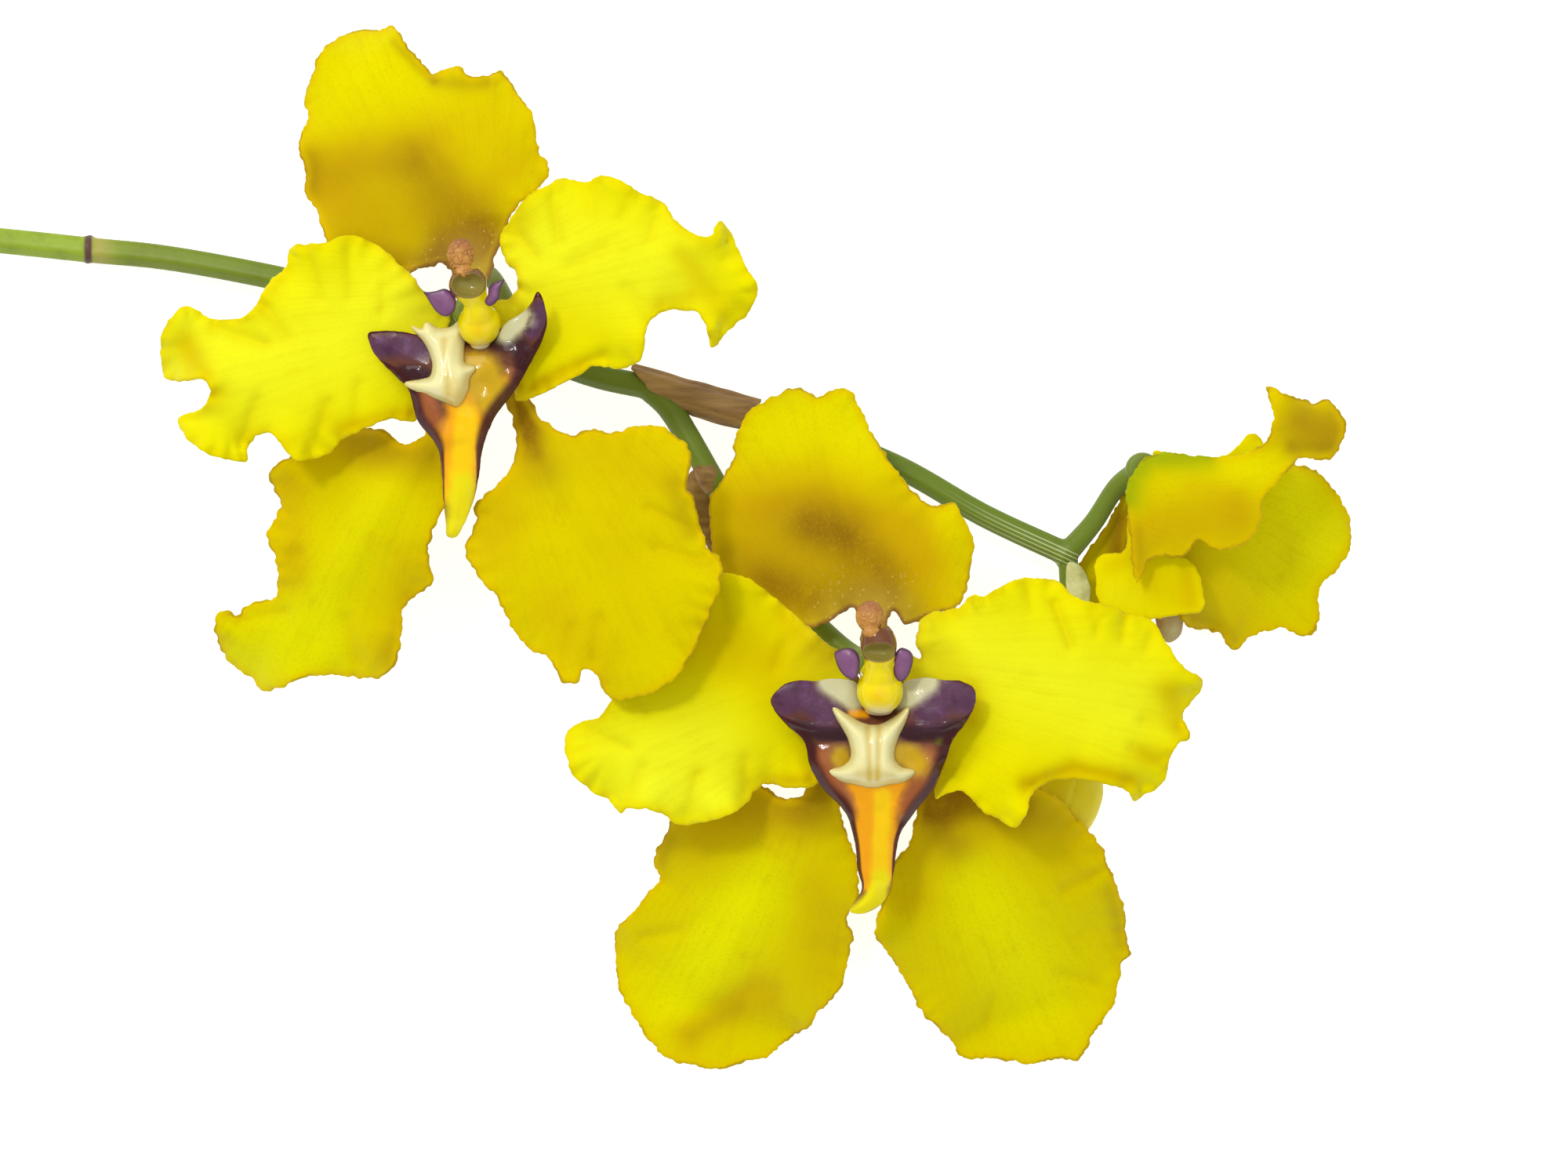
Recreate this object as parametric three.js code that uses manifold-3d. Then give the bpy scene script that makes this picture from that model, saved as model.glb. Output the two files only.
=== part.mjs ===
// A cut spray of a large-flowered oncidium orchid: three open blooms and a bud on one branching
// stem, lying on a surface and seen from above. Millimetres, +Z up.
//
// Every place is given on a flat sheet of 200 x 150 mm that the spray is laid out on, as
// [right, down, height]: right of the sheet's left edge, down from its far edge, above the table.
// sheetPoint turns that into the part's own frame, whose origin is under the middle of the spray.

import * as THREE from 'three';
import { mergeVertices } from 'three/addons/utils/BufferGeometryUtils.js';
import Module from 'manifold-3d';

const wasm = await Module();
wasm.setup();

// ---- driving dimensions ----

const ORIGIN = { right: 79.2, down: 70.2 };   // the sheet's place that the part's origin lies on
const BLADE = 0.8;                          // thickness of a sepal, petal or lip
const BRACT = 0.7;                          // thickness of a dry bract
const WING = 0.8;                           // thickness of a column wing
const SEAT_GAP = 0.35;                      // clearance where one piece sits on another
const MARGIN_STEP = 2.6;                    // spacing of the points along a blade's margin
const GRID = 4.2;                           // spacing of the points inside a blade
const SMALL_STEP = 1.5;                     // the same two spacings on lips, wings and bracts
const SMALL_GRID = 2.2;
const LATTICE = { startX: 0.21, startY: 0.37, clear: 0.45 };   // shares of the spacing: its start, margin
const BELLY_REACH = 5;                      // how far inside its margin a blade is fully swollen
const WAVE_REACH = 5;                       // how far the waves of a margin reach inwards
const STALK_RADIUS = 1.25;
const RECEPTACLE = { radius: 2.2, height: 3 };
const CUT = 400;                            // side of the box that trims what lies below the table

// ---- the spray's colours ----

const COLOUR = {
  petal: 0xebee2c, sepal: 0xd6c800, sepalBack: 0xc8b80c, lip: 0x5e3b46, callus: 0xf0e9b4,
  column: 0xe8c62e, wing: 0x8a5572, anther: 0xbb7e3e, stem: 0x7f9440, bract: 0x836d3a,
  paleBract: 0xb9b472, bud: 0xd0cb32,
};

function sheetPoint(right, down, height) {
  return new THREE.Vector3(right - ORIGIN.right, ORIGIN.down - down, height);
}

// ---- solids: joining, cutting and turning back into a mesh ----

function toSolid(geometry) {
  const bare = geometry.clone();
  bare.deleteAttribute('normal');
  bare.deleteAttribute('uv');
  const merged = mergeVertices(bare, 1e-4);
  return new wasm.Manifold(new wasm.Mesh({
    numProp: 3,
    vertProperties: new Float32Array(merged.attributes.position.array),
    triVerts: new Uint32Array(merged.index.array),
  }));
}

function toGeometry(solid) {
  const mesh = solid.getMesh();
  const geometry = new THREE.BufferGeometry();
  geometry.setAttribute('position', new THREE.BufferAttribute(mesh.vertProperties, 3));
  geometry.setIndex(new THREE.BufferAttribute(mesh.triVerts, 1));
  return geometry;
}

const belowTable = toSolid(new THREE.BoxGeometry(CUT, CUT, CUT).translate(0, 0, -CUT / 2));

// What would reach below the table is flattened against it.
function onTable(geometry) {
  return toGeometry(toSolid(geometry).subtract(belowTable));
}

function indexed(points, triangles) {
  const geometry = new THREE.BufferGeometry().setFromPoints(points);
  geometry.setIndex(triangles.flat());
  return geometry;
}

// ---- round stalks: sections [right, down, height, radius] joined by a smooth skin ----

function sweep(sections, { sides = 10, steps = 24, ribs = 0, ribDepth = 0 } = {}) {
  const path = new THREE.CatmullRomCurve3(sections.map((s) => sheetPoint(s[0], s[1], s[2])));
  const radii = new THREE.CatmullRomCurve3(sections.map((s, i) => new THREE.Vector3(i, s[3], 0)));
  const frames = path.computeFrenetFrames(steps);
  const points = [];
  const triangles = [];
  for (let i = 0; i <= steps; i++) {
    const centre = path.getPoint(path.getUtoTmapping(i / steps));
    const radius = radii.getPoint(path.getUtoTmapping(i / steps)).y;
    for (let k = 0; k < sides; k++) {
      const turn = (2 * Math.PI * k) / sides;
      const reach = radius * (1 + ribDepth * Math.cos(ribs * turn));
      points.push(centre.clone()
        .addScaledVector(frames.normals[i], reach * Math.cos(turn))
        .addScaledVector(frames.binormals[i], reach * Math.sin(turn)));
    }
  }
  for (let i = 0; i < steps; i++) {
    for (let k = 0; k < sides; k++) {
      const a = i * sides + k;
      const b = i * sides + ((k + 1) % sides);
      triangles.push([a, b, b + sides], [a, b + sides, a + sides]);
    }
  }
  const first = points.push(path.getPoint(0)) - 1;
  const last = points.push(path.getPoint(1)) - 1;
  const end = steps * sides;
  for (let k = 0; k < sides; k++) {
    const next = (k + 1) % sides;
    triangles.push([first, next, k], [last, end + k, end + next]);
  }
  return indexed(points, triangles);
}

// ---- blades: a thin skin over a freely drawn outline ----

// Points along the closed margin of a blade, counter-clockwise seen from above.
function marginOf(outline, step) {
  const corners = outline.map(([right, down, lift = 0]) => {
    return new THREE.Vector3(right - ORIGIN.right, ORIGIN.down - down, lift);
  });
  const curve = new THREE.CatmullRomCurve3(corners, true);
  const margin = curve.getSpacedPoints(Math.round(curve.getLength() / step)).slice(0, -1);
  return THREE.ShapeUtils.isClockWise(margin) ? margin.reverse() : margin;
}

// The lift of the margin carried inwards: mean value coordinates of a place inside it.
function liftInside(x, y, margin) {
  const arms = margin.map((m) => new THREE.Vector2(m.x - x, m.y - y));
  const halfTurns = arms.map((arm, i) => {
    const next = arms[(i + 1) % arms.length];
    return Math.tan(Math.atan2(arm.cross(next), arm.dot(next)) / 2);
  });
  let total = 0;
  let sum = 0;
  arms.forEach((arm, i) => {
    const weight = (halfTurns[(i + arms.length - 1) % arms.length] + halfTurns[i]) / arm.length();
    total += weight;
    sum += weight * margin[i].z;
  });
  return sum / total;
}

// The nearest place on the margin: how far it is, and its share of the way round.
function nearestMargin(x, y, margin) {
  let edge = Infinity;
  let share = 0;
  margin.forEach((m, i) => {
    const n = margin[(i + 1) % margin.length];
    const along = ((x - m.x) * (n.x - m.x) + (y - m.y) * (n.y - m.y))
      / ((n.x - m.x) ** 2 + (n.y - m.y) ** 2);
    const t = THREE.MathUtils.clamp(along, 0, 1);
    const away = Math.hypot(x - m.x - t * (n.x - m.x), y - m.y - t * (n.y - m.y));
    if (away < edge) {
      edge = away;
      share = (i + t) / margin.length;
    }
  });
  return { edge, share };
}

function inside(x, y, margin) {
  let odd = false;
  margin.forEach((m, i) => {
    const n = margin[(i + 1) % margin.length];
    if ((m.y > y) !== (n.y > y) && x < m.x + ((y - m.y) / (n.y - m.y)) * (n.x - m.x)) odd = !odd;
  });
  return odd;
}

// A triangular lattice of places inside the margin, clear of it.
function innerPoints(margin, grid) {
  const box = new THREE.Box3().setFromPoints(margin);
  const rowHeight = (grid * Math.sqrt(3)) / 2;
  const startX = box.min.x + grid * LATTICE.startX;
  const points = [];
  let row = 0;
  for (let y = box.min.y + rowHeight * LATTICE.startY; y < box.max.y; y += rowHeight) {
    for (let x = startX + ((row % 2) * grid) / 2; x < box.max.x; x += grid) {
      if (inside(x, y, margin) && nearestMargin(x, y, margin).edge > grid * LATTICE.clear) {
        points.push(new THREE.Vector3(x, y, 0));
      }
    }
    row++;
  }
  return points;
}

const cornerAngle = (at, a, b) => {
  const u = new THREE.Vector2(a.x - at.x, a.y - at.y);
  const v = new THREE.Vector2(b.x - at.x, b.y - at.y);
  return Math.abs(Math.atan2(u.cross(v), u.dot(v)));
};

// Triangles over the outline that use every inner point, with edges turned to the best shape.
function triangulate(margin, inner) {
  const points = [...margin, ...inner];
  const area = (a, b, c) => (b.x - a.x) * (c.y - a.y) - (b.y - a.y) * (c.x - a.x);
  const triangles = THREE.ShapeUtils.triangulateShape(margin, []);
  for (let p = margin.length; p < points.length; p++) {
    const host = triangles.findIndex(([a, b, c]) => area(points[a], points[b], points[p]) >= 0
      && area(points[b], points[c], points[p]) >= 0 && area(points[c], points[a], points[p]) >= 0);
    const [a, b, c] = triangles[host];
    triangles[host] = [a, b, p];
    triangles.push([b, c, p], [c, a, p]);
  }
  let turned = true;
  while (turned) {
    turned = false;
    const sides = new Map();
    triangles.forEach((t, index) => t.forEach((a, k) => {
      sides.set(`${a},${t[(k + 1) % 3]}`, { index, opposite: t[(k + 2) % 3] });
    }));
    const done = new Set();
    for (const [key, one] of sides) {
      const [a, b] = key.split(',').map(Number);
      const other = sides.get(`${b},${a}`);
      if (!other || done.has(one.index) || done.has(other.index)) continue;
      const c = one.opposite;
      const d = other.opposite;
      const bend = cornerAngle(points[c], points[a], points[b])
        + cornerAngle(points[d], points[a], points[b]);
      if (bend > Math.PI + 1e-6) {
        triangles[one.index] = [a, d, c];
        triangles[other.index] = [d, b, c];
        done.add(one.index).add(other.index);
        turned = true;
      }
    }
  }
  return triangles;
}

// How high a blade's middle plane stands over a place: the bloom's dish, the margin's own lift
// carried inwards, a fuller middle, and waves that fade away from the margin. Where it comes down
// to the table it lies flat on it.
function bladeHeight(blade, bloom, x, y, lift, edge, share) {
  const dx = x - (bloom.centre[0] - ORIGIN.right);
  const dy = y - (ORIGIN.down - bloom.centre[1]);
  const reach = Math.hypot(dx, dy);
  const { seat = 0, rise = 0, droop = 0, belly = 0, waves = 0, crisp = 0, phase = 0 } = blade;
  const lean = (bloom.leanRight ?? 0) * dx;
  const dish = bloom.centre[2] + seat + lean + rise * reach - droop * reach ** 2;
  const full = belly * (1 - Math.exp(-edge / BELLY_REACH));
  const wave = crisp * Math.sin(2 * Math.PI * waves * share + phase) * Math.exp(-edge / WAVE_REACH);
  return Math.max(dish + lift + full + wave, BLADE / 2);
}

// The middle surface of a blade as points and triangles.
function bladeSkin(blade, bloom, step = MARGIN_STEP, grid = GRID) {
  const margin = marginOf(blade.outline, step);
  const inner = innerPoints(margin, grid);
  const points = [];
  margin.forEach((m, i) => {
    const z = bladeHeight(blade, bloom, m.x, m.y, m.z, 0, i / margin.length);
    points.push(new THREE.Vector3(m.x, m.y, z));
  });
  inner.forEach((p) => {
    const { edge, share } = nearestMargin(p.x, p.y, margin);
    const z = bladeHeight(blade, bloom, p.x, p.y, liftInside(p.x, p.y, margin), edge, share);
    points.push(new THREE.Vector3(p.x, p.y, z));
  });
  return { points, triangles: triangulate(margin, inner), rim: margin.length };
}

// The solid between two sheets of points that share their triangles and their rim.
function shellBetween(upper, lower, triangles, rim) {
  const under = upper.length;
  const faces = [];
  triangles.forEach(([a, b, c]) => faces.push([a, b, c], [under + c, under + b, under + a]));
  for (let i = 0; i < rim; i++) {
    const next = (i + 1) % rim;
    faces.push([under + i, under + next, next], [under + i, next, i]);
  }
  return indexed([...upper, ...lower], faces);
}

function pointNormals(points, triangles) {
  const geometry = indexed(points, triangles);
  geometry.computeVertexNormals();
  return points.map((_, i) => new THREE.Vector3().fromBufferAttribute(geometry.attributes.normal, i));
}

function bladeSolid(skin, thickness) {
  const normals = pointNormals(skin.points, skin.triangles);
  const raise = (side) => skin.points.map((p, i) => {
    return p.clone().addScaledVector(normals[i], (side * thickness) / 2);
  });
  return shellBetween(raise(1), raise(-1), skin.triangles, skin.rim);
}

// ---- the stem: rachis, side branch, stalks and receptacles, grown as one ----

// The receptacle of each bloom: its middle on the sheet.
const SEAT_1 = [60, 39.8, 27];
const SEAT_2 = [111.2, 84.5, 20];
const SEAT_3 = [146, 59.8, 14.5];

const RACHIS = [
  [-15, 28.7, 1.5, 1.65], [0, 30.1, 1.6, 1.65], [10.3, 31.2, 2.2, 1.65], [20, 32.2, 3, 1.6],
  [35, 35, 5, 1.6], [50, 38.6, 7, 1.6], [62, 42.4, 8.5, 1.6], [75.5, 47.5, 10, 1.6],
  [83, 49.2, 10.8, 1.6], [96.5, 52.8, 10.5, 1.55], [114, 59, 8.5, 1.5], [126, 65.7, 8.3, 1.5],
  [136.5, 70.6, 8.5, 1.55],
];
const SIDE_BRANCH = [
  [82.6, 49.3, 10.8, 1.6], [85, 51.5, 11.4, 1.6], [87.3, 55, 12, 1.55], [90.5, 60.5, 12.6, 1.5],
  [96, 70, 13, 1.45], [102.5, 78, 13.4, 1.4], [108.5, 83.4, 15.2, 1.35], [111.2, 84.5, 19, 1.5],
];
const STALK_1 = [
  [66.5, 44.2, 9, 1.4], [65.3, 41.5, 11.5, 1.3], [63.9, 37.5, 15.5, STALK_RADIUS],
  [62, 34.8, 20, 1.2], [60.4, 35.8, 23.4, 1.2], [60, 38.4, 24.8, 1.4], [60, 39.8, 26.5, 1.5],
];
const STALK_3 = [
  [136.5, 70.5, 8.6, 1.5], [139.8, 66.6, 10, 1.3], [143, 61.8, 12, 1.3], [146, 59.8, 14.2, 1.6],
];
const BUD_STALK = [
  [136.6, 70.9, 8.5, 1.3], [136.8, 77, 8.3, 1.2], [137.1, 85, 7, 1.15], [137, 92, 5.8, 1.2],
  [136.8, 94.4, 5.5, 1.5],
];

// A swelling of the stem where a bract grew, from just before a place to just after it.
function swelling(before, at, after) {
  return sweep([[...before, 1.5], [...at, 2], [...after, 1.5]], { steps: 6 });
}

function receptacle([right, down, height]) {
  const disc = new THREE.CylinderGeometry(RECEPTACLE.radius, RECEPTACLE.radius, RECEPTACLE.height, 14);
  const middle = sheetPoint(right, down, height);
  return disc.rotateX(Math.PI / 2).translate(middle.x, middle.y, middle.z);
}

function makeStem() {
  const pieces = [
    sweep(RACHIS, { steps: 44, sides: 12, ribs: 3, ribDepth: 0.05 }),
    sweep(SIDE_BRANCH, { steps: 20 }),
    sweep(STALK_1, { steps: 16 }),
    sweep(STALK_3, { steps: 10 }),
    sweep(BUD_STALK, { steps: 12 }),
    swelling([9.2, 31.1, 2.1], [10.3, 31.2, 2.2], [11.4, 31.3, 2.3]),
    swelling([81.4, 48.9, 10.7], [83, 49.2, 10.8], [84.6, 49.7, 10.8]),
    swelling([134.9, 69.9, 8.5], [136.4, 70.6, 8.5], [137.9, 71.3, 8.5]),
    receptacle(SEAT_1), receptacle(SEAT_2), receptacle(SEAT_3),
  ];
  return toGeometry(pieces.map(toSolid).reduce((whole, piece) => whole.add(piece))
    .subtract(belowTable));
}

// The dry sheath wraps the rachis past the side branch, and is open where the branch leaves.
const SHEATH = {
  route: [[84.6, 49.6, 10.8], [90, 51, 10.8], [96.3, 52.75, 10.5]],
  inner: 2.05,        // inside radius
  branchRoom: 0.4,    // how far its opening stays clear of the side branch
  past: 0.6,          // how far its bore is cut past either end
};

function makeSheath() {
  const [first, middle, last] = SHEATH.route;
  const tube = (route, radius) => toSolid(sweep(route.map((place) => [...place, radius]),
    { steps: 6, sides: 12 }));
  const beyond = (end, inward) => {
    const run = new THREE.Vector2(end[0] - inward[0], end[1] - inward[1]).setLength(SHEATH.past);
    return [end[0] + run.x, end[1] + run.y, end[2]];
  };
  const bore = tube([beyond(first, middle), middle, beyond(last, middle)], SHEATH.inner);
  const opening = toSolid(sweep(SIDE_BRANCH.map(([right, down, height, radius]) => {
    return [right, down, height, radius + SHEATH.branchRoom];
  }), { steps: 20 }));
  return toGeometry(tube(SHEATH.route, SHEATH.inner + BRACT).subtract(bore).subtract(opening));
}

const FLAT = { centre: [0, 0, 0] };   // a blade whose outline gives its own heights

const BRACTS = {
  bract_branch: [
    [88, 60.2, 9.9], [90.2, 59.4, 9.9], [91.4, 62, 9.9], [91.3, 66, 9.6], [90.8, 70.4, 9.2],
    [89.2, 67.8, 9.4], [88, 65, 9.6], [87.5, 62.5, 9.7],
  ],
  bract_node: [
    [136.4, 73.4, 10.6], [137.8, 72.8, 10.6], [138.9, 73.6, 10.4], [139.3, 75.2, 10.2],
    [138.9, 77, 10.1], [137.6, 77.4, 10.2], [136.3, 76.4, 10.3], [135.9, 74.8, 10.4],
  ],
};

// ---- the blooms: outlines of sepals, petals and lips, from the claw round the margin ----
// The third number of a point is how far the margin is lifted there from the bloom's dish.

const SEPAL_SHAPE = { seat: -0.6, rise: 0.05, droop: 0.003, belly: 0.9, waves: 9, crisp: 0.8 };
const PETAL_SHAPE = { seat: 0.8, rise: 0.26, droop: 0.006, belly: 0.8, waves: 9, crisp: 1.3 };

const BLOOM_1 = {
  centre: SEAT_1,
  leanRight: 0.12,
  blades: {
    dorsal_sepal: { ...SEPAL_SHAPE, droop: 0.004, outline: [
      [59.1, 37.2], [61.1, 37.2], [62.6, 35], [63.2, 32.6], [64.5, 29.5], [66.2, 26.2],
      [68.5, 24.3], [70.1, 21.7], [68.7, 19.3], [68, 15], [66.2, 12.2], [63.8, 9.3], [60.2, 9.8],
      [58, 8.6], [55.2, 9.5], [54, 8.3], [51.5, 5.2], [50.2, 3.3, -1.5], [48, 3.7, -1.5],
      [46, 3.6, -1.5], [44, 4.1, -1], [41, 6.3], [39.7, 9.5], [38.8, 12.5], [39.2, 15.5],
      [38, 18.3], [39, 21.5], [38.9, 24.5], [40.2, 26.6], [41.1, 29], [42.5, 32], [47, 34.6],
      [52, 34.8], [57, 33.7, -0.5],
    ] },
    left_petal: { ...PETAL_SHAPE, outline: [
      [57.4, 38.8], [57.4, 40.8], [56.4, 44.5], [55, 49, -0.5], [53, 53.5, -1], [50, 53.4, -2],
      [47.5, 54.3, -2], [44.5, 55.6, -1.5], [41.5, 58, -1], [38.5, 58.7], [36.8, 57.6], [35.2, 55.6],
      [33.6, 55.2], [31.8, 56.5], [31.3, 58.8], [30, 58.7], [26, 57.5], [23, 54.7], [22.8, 53.4],
      [25.8, 52.2, 1], [27.1, 49.9, 2], [26.2, 48.4, 2], [24, 48.6, 1], [21.2, 48.2, -1],
      [20.4, 45, -1], [20.6, 43, -0.5], [22, 40.5, 0.5], [23.8, 39.1, 1], [27.2, 40.8, 0.5],
      [31.9, 40.2], [34.6, 36], [36.8, 33.8], [37.1, 31.8], [41.9, 31.2], [44, 30.3], [46.2, 30.5],
      [49, 32], [52, 34.7], [54.5, 37.5], [55.9, 38.6],
    ] },
    right_petal: { ...PETAL_SHAPE, outline: [
      [62.5, 40.7], [62.7, 39], [64.8, 38.4], [66, 37.6], [66.1, 35], [64.5, 33], [64, 30.5],
      [65.5, 28], [66.8, 26.2], [68, 25], [70.3, 23.9], [71.7, 23.1], [75.2, 23.5], [77, 22.7],
      [79.7, 23.8], [81.5, 24.7], [84.5, 26.2], [86.2, 28.6, 1], [88, 29.9, 1], [90.1, 30.7, 1],
      [91.2, 30, 1.5], [91.9, 28.6, 1.5], [93.5, 30.5, 0.5], [95, 34], [96.6, 37.2, -0.5],
      [95.5, 39.8, -1], [93, 42.3, -1.5], [90.8, 44.5, -2], [90.5, 43, -1], [89.3, 40.3],
      [88.2, 39.8], [84.5, 39.9], [82.5, 42], [81.8, 46], [79, 47.1], [76, 46.8], [74, 47.9],
      [71, 49.5, 0.4], [67.5, 51, 0.6], [66.2, 51.2, 0.6], [65.8, 49.5, 0.3], [64.5, 45],
    ] },
    left_sepal: { ...SEPAL_SHAPE, rise: 0, droop: 0.0045, outline: [
      [59.4, 42.5], [58, 41.8], [57, 44], [55.6, 49], [54.9, 54.2, -0.6], [53, 56.5, -1],
      [51, 56.6, -1.5], [48.7, 54.9, -2], [45, 54.8, -3], [41, 55.5, -3], [37.5, 57.8, -2],
      [35.2, 59], [34.2, 60.5], [35, 62.7], [35.5, 64], [35, 66.2], [33.8, 68.3], [34.9, 71],
      [35, 74], [34.9, 76], [32, 76.9], [30.3, 77.8], [30, 78.6], [27.4, 78], [26.8, 80],
      [27.3, 82.2, -1], [28.7, 84.7, -1.5], [31.2, 86.5, -1.5], [32.8, 88.2, -1.5], [36.5, 87.3],
      [38, 86.6], [41.3, 86], [47.8, 86.5], [50, 84.8], [51, 81], [51.1, 78], [52.5, 76],
      [55, 74.2], [54.6, 72], [55, 68], [56.8, 63.8], [56.4, 60], [56.9, 56], [58.2, 50],
      [59.2, 45],
    ] },
    right_sepal: { ...SEPAL_SHAPE, rise: 0.1, droop: 0.0016, outline: [
      [61.2, 42.3], [62.6, 41], [64, 44], [65.4, 48], [67.4, 50.8], [69, 53.5], [71.5, 55.2],
      [73.5, 55.5], [75.5, 54.9], [78, 55.3], [82, 54.5], [84, 54.6], [85.5, 55.3], [88, 57.5],
      [87.6, 62.5], [88.5, 63.5], [89.3, 67], [90.8, 70.5], [91.9, 71], [92.1, 72.5], [91.3, 76.5],
      [89.8, 80], [88, 83.8], [85.8, 86.5, -0.5], [83, 88.2, -1], [78, 89, -1], [76, 85.8],
      [74.8, 85.5], [73, 87.2], [71, 85.5], [70.3, 84], [67.5, 82.5], [65.5, 80], [63.7, 76.2],
      [62, 74.5], [60.5, 72.5], [59.5, 70], [61, 66.2], [60.6, 65], [62, 63.2], [64, 61.5],
      [65.5, 59.7], [66.1, 57], [65.6, 54], [64.4, 50], [62.6, 45.5],
    ] },
  },
  lip: { belly: 1.8, outline: [
    [61.5, 45.8, 5], [58.5, 45.2, 5], [56.5, 43.6, 6], [54, 43.2, 7], [51, 42.5, 7.5],
    [47.5, 43, 7], [48.3, 45.6, 6.5], [50.5, 47.8, 6.5], [52.4, 49.8, 6.5], [53.5, 53.6, 6],
    [56, 57, 5], [56.6, 60, 4], [56.8, 64, 3.5], [57.1, 67, 2.5], [57.2, 68.4, 2], [58.2, 68.5, 2],
    [59.2, 67, 2.5], [60.3, 64.5, 3], [61.2, 61, 4], [61.8, 57, 5], [63.4, 53.2, 6], [66, 49.8, 6.5],
    [67.6, 46.8, 7], [69.2, 43.3, 8], [70.3, 39.5, 9.5], [68.9, 37.8, 10], [67.6, 39.6, 9],
    [65.6, 41.6, 8], [64.2, 43.6, 6.5],
  ] },
  callus: { outline: [
    [52.9, 41.9], [54.1, 42.3], [54.7, 41.5], [56.2, 42.2], [57.6, 42.1], [58.6, 41.4], [59.5, 40.6],
    [59.5, 42.4], [59.4, 44], [59.3, 45.4], [59.5, 46.6], [60.8, 47.1], [60.1, 48.3], [59.8, 50],
    [58.6, 51.9], [56.9, 51.3], [55, 50.6], [52, 49.1], [53.8, 48.7], [55.2, 48.3], [55.6, 47],
    [55.2, 45.2], [54.4, 43.7],
  ] },
  column: [
    [60.5, 40.6, 29.6, 2], [61.6, 41.4, 31.8, 2.1], [62.2, 41.8, 34.6, 2.2], [61.8, 40.6, 37, 2.2],
    [60.6, 38, 38.3, 2.2], [59.8, 35.8, 38.8, 2],
  ],
  stigma: [60.2, 37.2, 41.2],
  anther: { at: [59.2, 33.4, 39], size: [1.6, 2.1, 1.5] },
  wings: {
    left: [[57.7, 37.6, 38.4], [57.3, 39.6, 38], [56, 40.3, 37.6], [54.8, 38.8, 37.6],
      [54.4, 37.4, 38], [56.2, 37.6, 38.6]],
    right: [[63.4, 36.6, 38.8], [64.6, 36.4, 39.4], [64.8, 38.2, 39], [64, 39.6, 38.6]],
  },
};

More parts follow.
